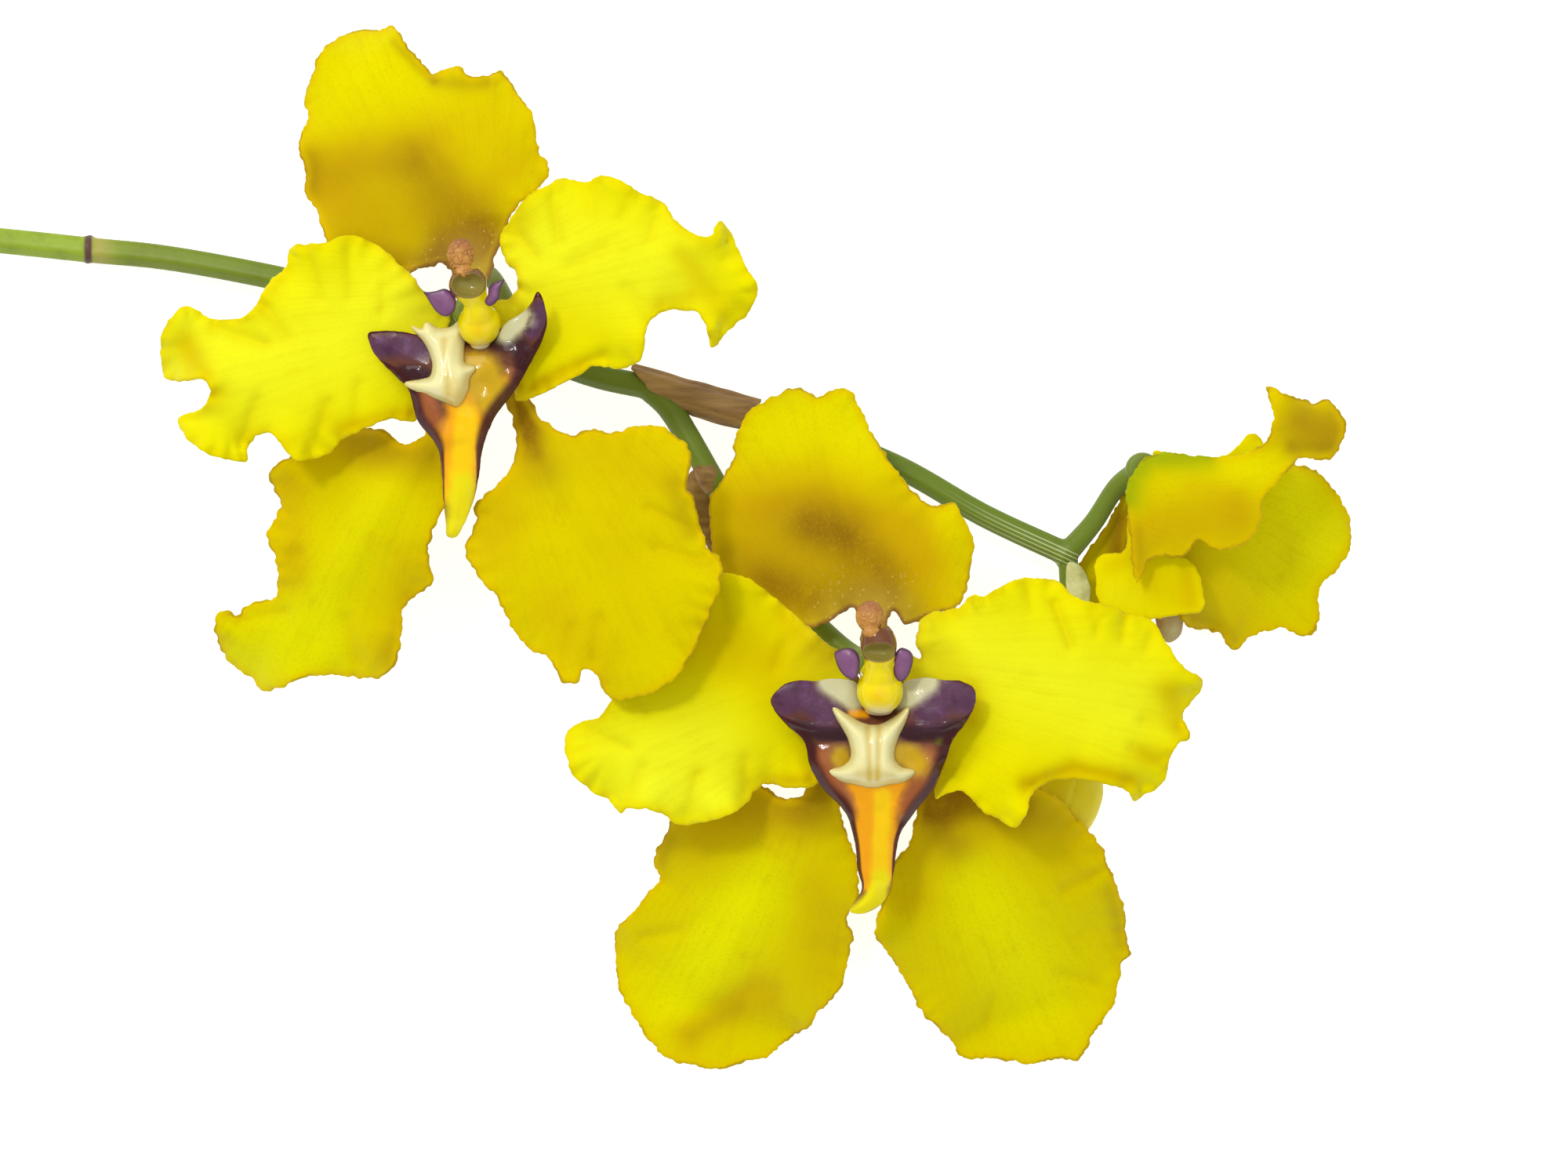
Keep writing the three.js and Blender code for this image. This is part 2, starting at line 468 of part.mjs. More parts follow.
const BLOOM_2 = {
  centre: SEAT_2,
  blades: {
    dorsal_sepal: { ...SEPAL_SHAPE, rise: 0.02, outline: [
      [110.2, 81.9], [112.2, 81.9], [113, 79.8], [114, 77.9], [115.5, 79.6], [118.2, 78.6],
      [122.5, 77], [123.5, 74], [124.3, 69.5], [123.2, 66.7], [121.6, 64.2, 0.5], [119.5, 64.7, 0.5],
      [118, 64, 0.5], [115, 61], [112, 56.5], [110.2, 53], [108.5, 50, -0.5], [107, 49.5, -0.5],
      [104.3, 50.6], [102, 49.5], [100.5, 49.6], [97.8, 51], [95.5, 52.5], [93.7, 56.5],
      [93.6, 58.5], [92, 61.2], [90.5, 63.7], [90.7, 67], [91, 71], [93, 73.8], [96.5, 75.5],
      [100, 78.5], [103.5, 80], [106.5, 78.8], [108.8, 77.4], [109.8, 79.4],
    ] },
    left_petal: { ...PETAL_SHAPE, outline: [
      [108.6, 83.5], [108.6, 85.5], [107.4, 88.5], [106, 92, -0.5], [104.8, 96.5, -1.5],
      [104.2, 100, -2.5], [100.5, 100.4, -2.5], [97.5, 100, -2.5], [96.2, 101, -2], [94.5, 103, -1],
      [90.5, 104.6], [87.5, 105.3], [85.8, 104.7], [84.3, 103.6], [80, 103.1], [79.2, 103.8],
      [77.5, 101.8], [75.5, 101], [73, 98.5], [72.1, 95.1], [72.2, 93.5], [74, 92.2], [76.5, 91.5],
      [78, 89.3, -0.5], [80, 85.5, -1], [83.5, 80.5, -1], [88, 75.5, -0.5], [92.5, 73.2],
      [96, 74.2], [98, 75.7], [102, 79], [105, 81.7], [106.8, 82.9],
    ] },
    right_petal: { ...PETAL_SHAPE, outline: [
      [113.8, 85.5], [113.8, 83.5], [115.4, 83.4], [117.4, 84], [117, 82], [117.3, 80], [118.2, 78.5],
      [122.5, 77.5], [123.6, 76.2], [125.5, 76], [129, 74.2], [131, 73.8], [135, 74.3], [137.2, 76.3],
      [141, 77.2], [144, 78.3], [147, 79.2], [148.5, 81.5], [151, 85.2], [153.5, 87, 0.5],
      [153, 88.5], [151, 91, -0.5], [151.8, 94], [150.5, 94.7], [149, 97.5], [148.7, 99.5],
      [146, 101.5, -0.5], [144.9, 102.2, -1], [144, 101], [142.5, 100.3, 0.5], [137, 99.3, 1.5],
      [133.5, 99.8, 1], [131.6, 101.5], [130.6, 104, -0.5], [129.6, 105.5, -1], [127.5, 104.6, -1],
      [125.5, 103.5], [123, 101], [121.5, 100.8, -1], [119.4, 101.9, -2], [119.8, 99.5, -2],
      [120.6, 96.5, -1.5], [119.5, 92.5, -1], [116.5, 88, -0.5],
    ] },
    left_sepal: { ...SEPAL_SHAPE, rise: -0.05, droop: 0.0063, outline: [
      [109.5, 86.7], [108.2, 85.5], [106.5, 90], [104.8, 95], [103.6, 99.8], [101.5, 102],
      [99.5, 101.9], [97, 100.5], [92, 100.5], [87.5, 102.5], [85.5, 105], [84.5, 107.5],
      [83.2, 110], [83.6, 111.5], [84.2, 112.6], [82.2, 114.5], [80.5, 117], [78.4, 119],
      [78.2, 122.5], [78.9, 127.5], [81, 131, -1], [82.8, 133.8, -2], [84.5, 135.7, -3],
      [89, 136.8, -4], [91.8, 137.3, -4], [94.5, 136.4, -3], [97.8, 135.5, -2], [101, 133, -1],
      [103, 131.8], [104.2, 129.8], [106.2, 128], [107.6, 125.5], [108.5, 121], [108.9, 120],
      [108, 117.5], [109.2, 115.5],
      [109.5, 113], [109, 109.5], [108.3, 107.5], [107.3, 104], [107.2, 99], [109, 91.5],
    ] },
    right_sepal: { ...SEPAL_SHAPE, rise: -0.05, droop: 0.0063, outline: [
      [114.2, 85.6], [112.8, 86.8], [114.5, 91.5], [116.5, 97], [117.2, 102], [116.8, 105],
      [116, 108.2], [114, 110.8], [113.6, 113.5], [111.9, 117.8], [112, 120], [113.8, 122.5],
      [116.2, 126.5], [118, 130], [120, 131.8], [122.2, 134.2, -1], [123, 135.6, -2],
      [126.5, 135.8, -3], [132.5, 136.5, -4], [136, 135.8, -3], [138, 136.1, -2], [140.2, 132.5, -1],
      [142.7, 128.5], [143.8, 123.5],
      [144.7, 122.6], [144.3, 120.2], [143.8, 116.5], [141.8, 111], [140.3, 107.4], [138.5, 105.5],
      [135, 102], [130, 99.5], [125, 99], [121.2, 99.8], [119.6, 99], [118.4, 95], [116.6, 90],
    ] },
  },
  lip: { belly: 1.8, outline: [
    [109.2, 90, 6], [108.9, 88.6, 6.5], [108.5, 87.3, 7], [106.4, 86.6, 7.6], [104, 86.9, 8.5],
    [102, 86.8, 9], [100.3, 87.2, 9], [98.8, 88.4, 9],
    [98.4, 89.4, 8.5], [99, 90.8, 8], [100.4, 92.4, 7.5], [102.6, 94.5, 7], [103.3, 97.5, 6],
    [105, 100.5, 5], [107.8, 103.5, 4], [109, 107, 3], [109.5, 111, 1.5], [110, 113.6, 0.5],
    [108.4, 116.3, 0], [110, 116.6, 0], [112, 115.7, 0], [113.3, 114, 0.5], [114, 111, 1.5],
    [114.7, 106.6, 3], [116.5, 103.7, 4], [119, 100.5, 5], [120.6, 96.8, 6], [121.5, 94.2, 7],
    [123, 92.3, 7.5], [124.3, 89.4, 8.5], [124.1, 87.8, 9], [122.5, 86.9, 9], [120.5, 86.8, 9],
    [118, 86.5, 7.8], [115.9, 87.2, 7], [115.6, 88.6, 6.5], [115.1, 90, 6], [112.4, 90.9, 4.5],
  ] },
  callus: { outline: [
    [106.3, 90.3], [107.9, 91.1], [109.6, 92.1], [111, 92.5], [112.4, 92.4], [114, 91.5], [115.8, 90.3],
    [115.4, 91.9], [114.6, 93.6], [114, 95.4], [114, 96.8], [114.8, 97.8], [116.6, 98.4],
    [115.4, 99.5], [113.4, 99.9], [111.2, 100.3], [109, 99.9], [107, 99.4], [105.5, 98.3],
    [107.4, 97.8], [108.5, 96.8], [108.6, 95.4], [107.9, 93.4], [106.9, 91.8],
  ] },
  column: [
    [111.4, 85.5, 22.6, 2], [112, 86.9, 25, 2.6], [112.4, 87.6, 28.2, 2.9], [112.1, 86.4, 30.8, 2.6],
    [111.7, 83.6, 32.2, 2.4], [111.3, 80.8, 32.8, 2],
  ],
  stigma: [111.8, 83, 35.2],
  anther: { at: [110.9, 78.2, 33], size: [1.7, 2.1, 1.6] },
  wings: {
    left: [[108.7, 82.8, 31.8], [108.9, 84.6, 31.4], [108.2, 86.4, 31], [106.8, 85.3, 30.6],
      [106.4, 83.5, 31], [107.6, 82.6, 31.6]],
    right: [[114.5, 82.8, 31.8], [115.8, 83, 31.6], [116.6, 84.4, 31], [115.6, 86.7, 30.8],
      [115, 85.2, 31.4]],
  },
};

// The third bloom turns its face to the table; its outlines give heights above the table.
const BLOOM_3 = {
  centre: [SEAT_3[0], SEAT_3[1], 0],
  facesDown: true,
  blades: {
    dorsal_sepal: { belly: 1, outline: [
      [144.9, 60.2, 16.9], [144.1, 62.2, 16.8], [144, 64.4, 16.4], [144.3, 67, 16], [144.6, 70.5, 15.5],
      [145, 73.8, 15], [146.6, 73.2, 15], [147, 71.2, 15], [148.5, 70.8, 15.2], [151.5, 70.8, 15.5],
      [153, 69, 16], [156, 70, 16], [159.5, 68.8, 16.5], [161.2, 66, 17.5], [161.2, 63.5, 18.5],
      [164.5, 60, 19], [165.8, 58.6, 17.5], [170.5, 58, 15], [172, 54, 14], [171.2, 52.6, 14],
      [169.7, 50.7, 14.5], [168.5, 51.3, 15], [166.8, 51, 16.5], [164.2, 50.3, 19], [161.8, 49.3, 18],
      [162.7, 53, 19.5], [161.5, 56.5, 19], [156, 58.3, 17], [151.5, 58, 16.9], [148.8, 57.7, 16.9],
      [146.5, 58.4, 16.9],
    ] },
    left_petal: { belly: 0.2, outline: [
      [148.5, 59.2, 13.6], [147.5, 57.6, 13.6], [150, 57.9, 14], [154, 58.2, 14.3], [157, 57.9, 14],
      [158.5, 56.5, 14], [160, 55.2, 14], [161.7, 56.6, 13.8], [163.5, 59, 13], [161.5, 62, 12.8],
      [156, 62.6, 12.8], [151, 60.4, 13.4],
    ] },
    right_sepal: { belly: 0.6, waves: 8, crisp: 0.5, outline: [
      [148.1, 61.9, 12.8], [150.5, 61.6, 11.6], [155, 60.4, 10.4], [160, 59.3, 9], [165, 59, 7.3],
      [169, 60.3, 5.3], [172, 64, 3], [173.5, 68.5, 0.6], [171.5, 72.5, -1.2], [169.3, 75.2, -2],
      [169.2, 79, -2.6], [167.5, 81.3, -2.6], [165, 80.3, -2], [163.5, 80.2, -0.6], [160, 81.5, 0.8],
      [158.1, 83, 1.2], [156, 80.6, 3], [151.6, 79.6, 7.2], [150.5, 77, 8], [149, 72, 9.2],
      [148, 67, 11.2], [147.1, 62.6, 12.9],
    ] },
    right_petal: { belly: 0.4, outline: [
      [146.4, 62.7, 13.8], [144.9, 62.4, 13.8], [144.3, 66, 13.2], [143.6, 70.3, 12.4],
      [141.6, 70.6, 12], [140.3, 71.6, 11.7], [140.2, 75, 11.3], [141.2, 77.6, 11], [144.5, 78.6, 10.9],
      [148, 78.9, 10.9], [151, 78.3, 10.9], [153.7, 78, 11], [153.7, 74.5, 11.4], [152, 71.5, 11.9],
      [148.5, 70.3, 12.5], [147.2, 66, 13.3],
    ] },
    left_sepal: { belly: 0.5, waves: 6, crisp: 0.4, outline: [
      [146.6, 61.8, 11.4], [145, 61.8, 11.4], [143.4, 63.5, 10], [141.8, 66.5, 8],
      [139.8, 69.5, 5.8], [137.4, 73, 4.6], [134.8, 77, 3.6], [132.5, 81, 2.6], [132.5, 84.5, 1.6],
      [134.5, 87.5, 1.1], [138, 88.5, 1], [141.5, 86.5, 1.3], [143.5, 82.5, 2], [144, 78, 3.2],
      [144.1, 73, 5], [144.3, 68.5, 7.5], [145.2, 64.5, 9.8],
    ] },
  },
  lip: { belly: 0.5, outline: [
    [146.8, 62.8, 10.2], [148, 63, 10], [149.5, 65.5, 9], [152, 67.5, 7.6], [153.5, 69.5, 7],
    [152.8, 72, 6.6], [150.5, 74, 6], [150.2, 76.5, 5.2], [151.5, 79.3, 4], [151, 81.3, 3.2],
    [149.6, 82, 3], [148.3, 80, 3.6], [147.8, 76.5, 4.8], [147.4, 74, 5.6], [146.1, 72, 6.2],
    [145.9, 69.5, 7], [146.7, 66.5, 8.4],
  ] },
  callus: { outline: [
    [148.8, 66.4], [150.8, 67.2], [150.9, 69.2], [152, 70.6], [150.3, 71.2], [149.5, 73],
    [148.6, 71.2], [147, 70.6], [148, 69], [147.7, 67.2],
  ] },
  column: [
    [147.4, 59.2, 12, 1.6], [147.5, 59.7, 10.4, 1.8], [148.2, 60.5, 8.2, 2], [149.6, 61.2, 6, 1.8],
    [151.1, 61.6, 4.4, 1.6],
  ],
  stigma: [149, 61, 3.4],
  anther: { at: [153.4, 61.9, 3.2], size: [1.9, 1.6, 1.5] },
  wings: {
    left: [[150.3, 59.1, 6.9], [151.4, 59.5, 5.7], [152.6, 59.6, 4.5], [153, 58.9, 4.2],
      [152, 58.4, 4.9], [150.6, 58.3, 6.3]],
    right: [[147.4, 63.1, 8], [148.8, 63.4, 7.1], [149.9, 64.2, 6], [148.6, 65.1, 6.2],
      [147.4, 64.5, 7.2]],
  },
};

const BUD = { base: [136.8, 95.1, 5.4], tip: [135.8, 109.2, 5.2], radius: 4.75, ridges: 0.05 };

// The bud's outline from base to tip: share of its length, share of its radius.
const BUD_PROFILE = [
  [0, 0], [0, 0.3], [0.12, 0.62], [0.3, 0.92], [0.5, 1], [0.72, 0.8], [0.9, 0.38], [1, 0],
];

// ---- pieces of a bloom ----

function columnSolid({ column, stigma }) {
  const STIGMA_RADIUS = 2.1;
  const middle = sheetPoint(...stigma);
  const hollow = new THREE.SphereGeometry(STIGMA_RADIUS, 10, 6).translate(middle.x, middle.y, middle.z);
  return toGeometry(toSolid(sweep(column, { steps: 9 })).subtract(toSolid(hollow)));
}

// The crest follows the face of the lip, just clear of it, and swells to its middle.
function callusSolid(bloom) {
  const RIM_HEIGHT = 0.7;
  const CREST_HEIGHT = 1.4;
  const CREST_REACH = 1.2;
  const SLOPE_ALLOWANCE = 1.3;
  const side = bloom.facesDown ? -1 : 1;
  const lipMargin = marginOf(bloom.lip.outline, SMALL_STEP);
  const margin = marginOf(bloom.callus.outline, SMALL_STEP * 0.8);
  const points = [...margin, ...innerPoints(margin, SMALL_GRID * 0.75)];
  const face = (p, height) => {
    const { edge, share } = nearestMargin(p.x, p.y, lipMargin);
    const lift = liftInside(p.x, p.y, lipMargin);
    const lip = bladeHeight(bloom.lip, bloom, p.x, p.y, lift, edge, share);
    return new THREE.Vector3(p.x, p.y, lip + side * (SLOPE_ALLOWANCE * (BLADE / 2 + SEAT_GAP) + height));
  };
  const near = points.map((p) => face(p, 0));
  const far = points.map((p, i) => {
    const edge = i < margin.length ? 0 : nearestMargin(p.x, p.y, margin).edge;
    return face(p, RIM_HEIGHT + CREST_HEIGHT * (1 - Math.exp(-edge / CREST_REACH)));
  });
  const triangles = triangulate(margin, points.slice(margin.length));
  return side > 0 ? shellBetween(far, near, triangles, margin.length)
    : shellBetween(near, far, triangles, margin.length);
}

function antherSolid({ at, size }) {
  const middle = sheetPoint(...at);
  return new THREE.SphereGeometry(1, 10, 7).scale(...size).translate(middle.x, middle.y, middle.z);
}

function budSolid() {
  const base = sheetPoint(...BUD.base);
  const tip = sheetPoint(...BUD.tip);
  const length = base.distanceTo(tip);
  const profile = new THREE.SplineCurve(BUD_PROFILE.map(([along, out]) => {
    return new THREE.Vector2(out * BUD.radius, along * length);
  })).getPoints(9);
  profile.forEach((p) => { p.x = Math.max(p.x, 0); });
  const geometry = new THREE.LatheGeometry(profile, 14);
  const along = tip.clone().sub(base).normalize();
  const turn = new THREE.Quaternion().setFromUnitVectors(new THREE.Vector3(0, 1, 0), along);
  return geometry.applyQuaternion(turn).translate(base.x, base.y, base.z);
}

// ---- the spray ----

const group = new THREE.Group();

function add(name, geometry, color, roughness = 0.5) {
  const mesh = new THREE.Mesh(geometry, new THREE.MeshStandardMaterial({ color, roughness }));
  mesh.name = name;
  group.add(mesh);
}

function addBloom(name, bloom) {
  for (const [part, blade] of Object.entries(bloom.blades)) {
    const skin = bladeSkin(blade, bloom);
    add(`${name}_${part}`, onTable(bladeSolid(skin, BLADE)),
      part.endsWith('petal') ? COLOUR.petal : COLOUR.sepal);
  }
  add(`${name}_lip`, bladeSolid(bladeSkin(bloom.lip, bloom, SMALL_STEP, SMALL_GRID), BLADE), COLOUR.lip);
  add(`${name}_callus`, callusSolid(bloom), COLOUR.callus, 0.35);
  add(`${name}_column`, columnSolid(bloom), COLOUR.column);
  for (const [side, outline] of Object.entries(bloom.wings)) {
    const skin = bladeSkin({ outline }, FLAT, SMALL_STEP, SMALL_GRID);
    add(`${name}_${side}_wing`, bladeSolid(skin, WING), COLOUR.wing);
  }
  add(`${name}_anther_cap`, antherSolid(bloom.anther), COLOUR.anther);
}

add('stem', makeStem(), COLOUR.stem);
add('bract_sheath', makeSheath(), COLOUR.bract, 0.8);
for (const [name, outline] of Object.entries(BRACTS)) {
  const skin = bladeSkin({ outline }, FLAT, SMALL_STEP, SMALL_GRID);
  add(name, bladeSolid(skin, BRACT), name === 'bract_node' ? COLOUR.paleBract : COLOUR.bract, 0.8);
}
addBloom('bloom_1', BLOOM_1);
addBloom('bloom_2', BLOOM_2);
addBloom('bloom_3', BLOOM_3);
add('bud', budSolid(), COLOUR.bud);

export default group;
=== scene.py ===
"""A cut spray of a large-flowered oncidium orchid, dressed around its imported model.

Three open blooms and a bud on one branching stem lie on a pale table and are seen from above.
Places are given as in the model's source: [right, down, height] in mm on the flat sheet that the
spray is laid out on. Everything made here is in metres, in the model's own frame.
"""
import math

import bmesh
import bpy
import numpy as np
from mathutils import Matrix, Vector, geometry, noise


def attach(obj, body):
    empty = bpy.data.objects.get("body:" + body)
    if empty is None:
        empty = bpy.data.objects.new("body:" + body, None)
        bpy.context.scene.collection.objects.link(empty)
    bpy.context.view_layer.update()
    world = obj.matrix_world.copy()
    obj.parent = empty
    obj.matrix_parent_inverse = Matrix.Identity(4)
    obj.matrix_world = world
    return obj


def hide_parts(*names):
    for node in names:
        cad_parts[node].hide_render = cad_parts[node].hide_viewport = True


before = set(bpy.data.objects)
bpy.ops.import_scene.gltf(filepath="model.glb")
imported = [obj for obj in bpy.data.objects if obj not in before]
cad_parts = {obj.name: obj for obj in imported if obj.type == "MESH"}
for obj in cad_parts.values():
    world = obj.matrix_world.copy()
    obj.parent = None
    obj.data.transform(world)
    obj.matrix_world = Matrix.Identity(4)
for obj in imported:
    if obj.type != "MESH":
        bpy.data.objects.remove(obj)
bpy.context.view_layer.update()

# ---- Table, light and camera ----------------------------------------------------------------
# A plain white light table under big soft lamps: lit a little from below, so shadows stay pale.
# The camera looks straight down on the middle of the laying sheet from far away, so that the
# sheet's 200 mm just fill the picture's width.

MM = 0.001
SHEET_WIDTH, SHEET_HEIGHT = 200, 150
ORIGIN_RIGHT, ORIGIN_DOWN = 79.2, 70.2       # the sheet's place that the part's origin lies on
CAMERA_DISTANCE, CAMERA_REACH = 1500, 50000  # from the blooms, and as far as it sees, in mm
BLOOM_PLANE = 24                             # the height that most of the blooms lie at
SENSOR = 36
TABLE_REACH, TABLE_DROP = 3000, 0.2          # to each side, and how far it lies under the spray
# Place in m, size across in m and power in W of each soft lamp; all of them face the spray.
LAMPS = {"lamp_key": ((-0.55, 0.75, 1.0), 0.7, 6), "lamp_fill": ((0.9, -0.5, 0.9), 1.2, 2.5),
         "lamp_top": ((0.05, 0.1, 1.9), 1.6, 6.5), "lamp_spark": ((-0.45, 0.5, 1.3), 0.18, 6.4)}
WORLD_LIGHT = 0.5


def add_node(tree, kind, values=None, out=0):
    """Adds a node, gives its properties and inputs their values or links, and returns an output."""
    node = tree.nodes.new(kind)
    for name, value in (values or {}).items():
        if isinstance(name, str) and hasattr(node, name):
            setattr(node, name, value)
        elif isinstance(value, bpy.types.NodeSocket):
            tree.links.new(value, node.inputs[name])
        else:
            node.inputs[name].default_value = value
    return node.outputs[out] if node.outputs else None


def linear(hex_colour):
    """An sRGB hex colour as linear red, green, blue and alpha."""
    shares = [int(hex_colour[i:i + 2], 16) / 255 for i in (1, 3, 5)]
    return [s / 12.92 if s <= 0.04045 else ((s + 0.055) / 1.055) ** 2.4 for s in shares] + [1.0]


def new_material(name, finish):
    """A material with a Principled shader, whose values that are the same all over are set."""
    material = bpy.data.materials.new(name)
    material.use_nodes = True
    tree = material.node_tree
    tree.nodes.clear()
    shader = add_node(tree, "ShaderNodeBsdfPrincipled", finish)
    add_node(tree, "ShaderNodeOutputMaterial", {"Surface": shader})
    return material, tree, shader.node


def coated(tree, colour, coats):
    """A colour under coats, each one a tint and the share of it that covers what lies below."""
    for tint, share in coats:
        colour = add_node(tree, "ShaderNodeMix", {"data_type": "RGBA", 0: share, 6: colour,
                                                  7: linear(tint)}, 2)
    return colour


def new_object(name, data):
    """An object in the scene that holds the data."""
    thing = bpy.data.objects.new(name, data)
    bpy.context.scene.collection.objects.link(thing)
    return thing


def new_piece(name, points_mm, faces, edges=()):
    """A mesh object at the origin from places in mm, with smooth faces."""
    mesh = bpy.data.meshes.new(name)
    mesh.from_pydata((np.asarray(points_mm) * MM).tolist(), edges, faces)
    mesh.polygons.foreach_set("use_smooth", [True] * len(mesh.polygons))
    return new_object(name, mesh)


# Opal acrylic, cast in a sheet: matt, even, and glowing faintly.
opal_acrylic, tree, shader = new_material("matt opal acrylic", {
    "Roughness": 0.8, "Emission Color": (1, 1, 1, 1), "Emission Strength": 0.8})
cloud = add_node(tree, "ShaderNodeTexNoise", {"Scale": 60.0, "Detail": 3.0})
tree.links.new(coated(tree, linear("#b4b4b4"), [("#b9b9b9", cloud)]), shader.inputs["Base Color"])

corners = [(x * TABLE_REACH, y * TABLE_REACH, -TABLE_DROP)
           for x, y in ((-1, -1), (1, -1), (1, 1), (-1, 1))]
table = new_piece("table", corners, [(0, 1, 2, 3)])
table.data.materials.append(opal_acrylic)

camera_data = bpy.data.cameras.new("camera")
camera_data.sensor_width = SENSOR
camera_data.lens = CAMERA_DISTANCE * SENSOR / SHEET_WIDTH
camera_data.clip_end = CAMERA_REACH * MM
camera = new_object("camera", camera_data)
camera.location = ((SHEET_WIDTH / 2 - ORIGIN_RIGHT) * MM, (ORIGIN_DOWN - SHEET_HEIGHT / 2) * MM,
                   (CAMERA_DISTANCE + BLOOM_PLANE) * MM)
bpy.context.scene.camera = camera

for name, (place, size, power) in LAMPS.items():
    lamp_data = bpy.data.lights.new(name, "AREA")
    lamp_data.size, lamp_data.energy = size, power
    lamp = new_object(name, lamp_data)
    lamp.location = place
    lamp.rotation_euler = (-Vector(place)).to_track_quat("-Z", "Y").to_euler()

world = bpy.data.worlds.new("studio")
world.use_nodes = True
world.node_tree.nodes["Background"].inputs["Color"].default_value = (1, 1, 1, 1)
world.node_tree.nodes["Background"].inputs["Strength"].default_value = WORLD_LIGHT
bpy.context.scene.world = world
bpy.context.scene.view_settings.view_transform = "Standard"

# ---- Stem -----------------------------------------------------------------------------------
# The rachis, its side branch, the flower stalks and the receptacles grew as one green piece. The
# rachis is ribbed and bears a ring at each node; the stalks are rounder and paler.

# Each run as sections [right, down, height, radius].
RACHIS = [
    (-15, 28.7, 1.5, 1.65), (0, 30.1, 1.6, 1.65), (10.3, 31.2, 2.2, 1.65), (20, 32.2, 3, 1.6),
    (35, 35, 5, 1.6), (50, 38.6, 7, 1.6), (62, 42.4, 8.5, 1.6), (75.5, 47.5, 10, 1.6),
    (83, 49.2, 10.8, 1.6), (96.5, 52.8, 10.5, 1.55), (114, 59, 8.5, 1.5), (126, 65.7, 8.3, 1.5),
    (136.5, 70.6, 8.5, 1.55)]
STALKS = {
    "side_branch": [
        (82.6, 49.3, 10.8, 1.6), (85, 51.5, 11.4, 1.6), (87.3, 55, 12, 1.55), (90.5, 60.5, 12.6, 1.5),
        (96, 70, 13, 1.45), (102.5, 78, 13.4, 1.4), (108.5, 83.4, 15.2, 1.35), (111.2, 84.5, 19, 1.5)],
    "stalk_1": [
        (66.5, 44.2, 9, 1.4), (65.3, 41.5, 11.5, 1.3), (63.9, 37.5, 15.5, 1.25), (62, 34.8, 20, 1.2),
        (60.4, 35.8, 23.4, 1.2), (60, 38.4, 24.8, 1.4), (60, 39.8, 26.5, 1.5)],
    "stalk_3": [
        (136.5, 70.5, 8.6, 1.5), (139.8, 66.6, 10, 1.3), (143, 61.8, 12, 1.3), (146, 59.8, 14.2, 1.6)],
    "bud_stalk": [
        (136.6, 70.9, 8.5, 1.3), (136.8, 77, 8.3, 1.2), (137.1, 85, 7, 1.15), (137, 92, 5.8, 1.2),
        (136.8, 94.4, 5.5, 1.5)],
}
NODES = [(10.3, 31.2, 2.2, -6), (83, 49.2, 10.8, -14), (136.4, 70.6, 8.5, -26)]   # with its heading
RING = [(-1.3, 1.5), (-0.6, 1.78), (-0.25, 1.95), (0.1, 1.75), (0.9, 1.5)]        # along it, radius
SEATS = {"bloom_1": (60, 39.8, 27), "bloom_2": (111.2, 84.5, 20), "bloom_3": (146, 59.8, 14.5)}
CUP = [(-1.5, 1.5), (-0.75, 2.05), (0.9, 2.2), (1.5, 1.9)]      # over a bloom's seat, and its radius
STALK_STEP = 0.35
STEM_VOXEL = 0.24
LOWEST = 0.02             # nothing of the stem lies lower over the table
RACHIS_GIRTH = 1.9        # what lies further than this from the rachis's line is another stalk


def on_sheet(points):
    """Places [right, down, ...] on the sheet as an array of places in the part's frame, in mm."""
    points = np.asarray(points, float)
    return np.column_stack([points[:, 0] - ORIGIN_RIGHT, ORIGIN_DOWN - points[:, 1], points[:, 2:]])


def smooth_line(corners, closed=False, per_span=24):
    """A centripetal Catmull-Rom line through rows of numbers, the first three being the place."""
    rows = np.asarray(corners, float)
    count = len(rows)
    if closed:
        ends = rows[np.arange(-1, count + 2) % count]
    else:
        ends = np.vstack([2 * rows[0] - rows[1], rows, 2 * rows[-1] - rows[-2]])
    line = []
    for i in range(count if closed else count - 1):
        a, b, c, d = ends[i:i + 4]
        steps = [max(np.sum((q - p)[:3] ** 2) ** 0.25, 1e-4) for p, q in ((a, b), (b, c), (c, d))]
        leave = (b - a) / steps[0] - (c - a) / (steps[0] + steps[1]) + (c - b) / steps[1]
        arrive = (c - b) / steps[1] - (d - b) / (steps[1] + steps[2]) + (d - c) / steps[2]
        leave, arrive = leave * steps[1], arrive * steps[1]
        t = np.linspace(0, 1, per_span, endpoint=False)[:, None]
        line.append(b + leave * t + (3 * (c - b) - 2 * leave - arrive) * t ** 2
                    + (2 * (b - c) + leave + arrive) * t ** 3)
    if not closed:
        line.append(rows[-1:])
    return np.vstack(line)


def spaced_line(corners, step, closed=False):
    """A smooth line through the corners, with its points set out evenly, about one step apart."""
    line = smooth_line(corners, closed)
    track = np.vstack([line, line[:1]]) if closed else line
    run = np.concatenate([[0], np.cumsum(np.linalg.norm(np.diff(track[:, :3], axis=0), axis=1))])
    marks = np.linspace(0, run[-1], max(int(round(run[-1] / step)), 3) + 1)
    if closed:
        marks = marks[:-1]
    return np.column_stack([np.interp(marks, run, track[:, k]) for k in range(track.shape[1])])


def in_blocks(rule, places, block=1500):
    """Applies a rule to many places, some at a time, and joins what it gives."""
    return np.concatenate([rule(places[i:i + block]) for i in range(0, len(places), block)])


def corners_of(piece):
    """The piece's points in mm, in the part's frame."""
    flat = np.empty(len(piece.data.vertices) * 3)
    piece.data.vertices.foreach_get("co", flat)
    return flat.reshape(-1, 3) / MM


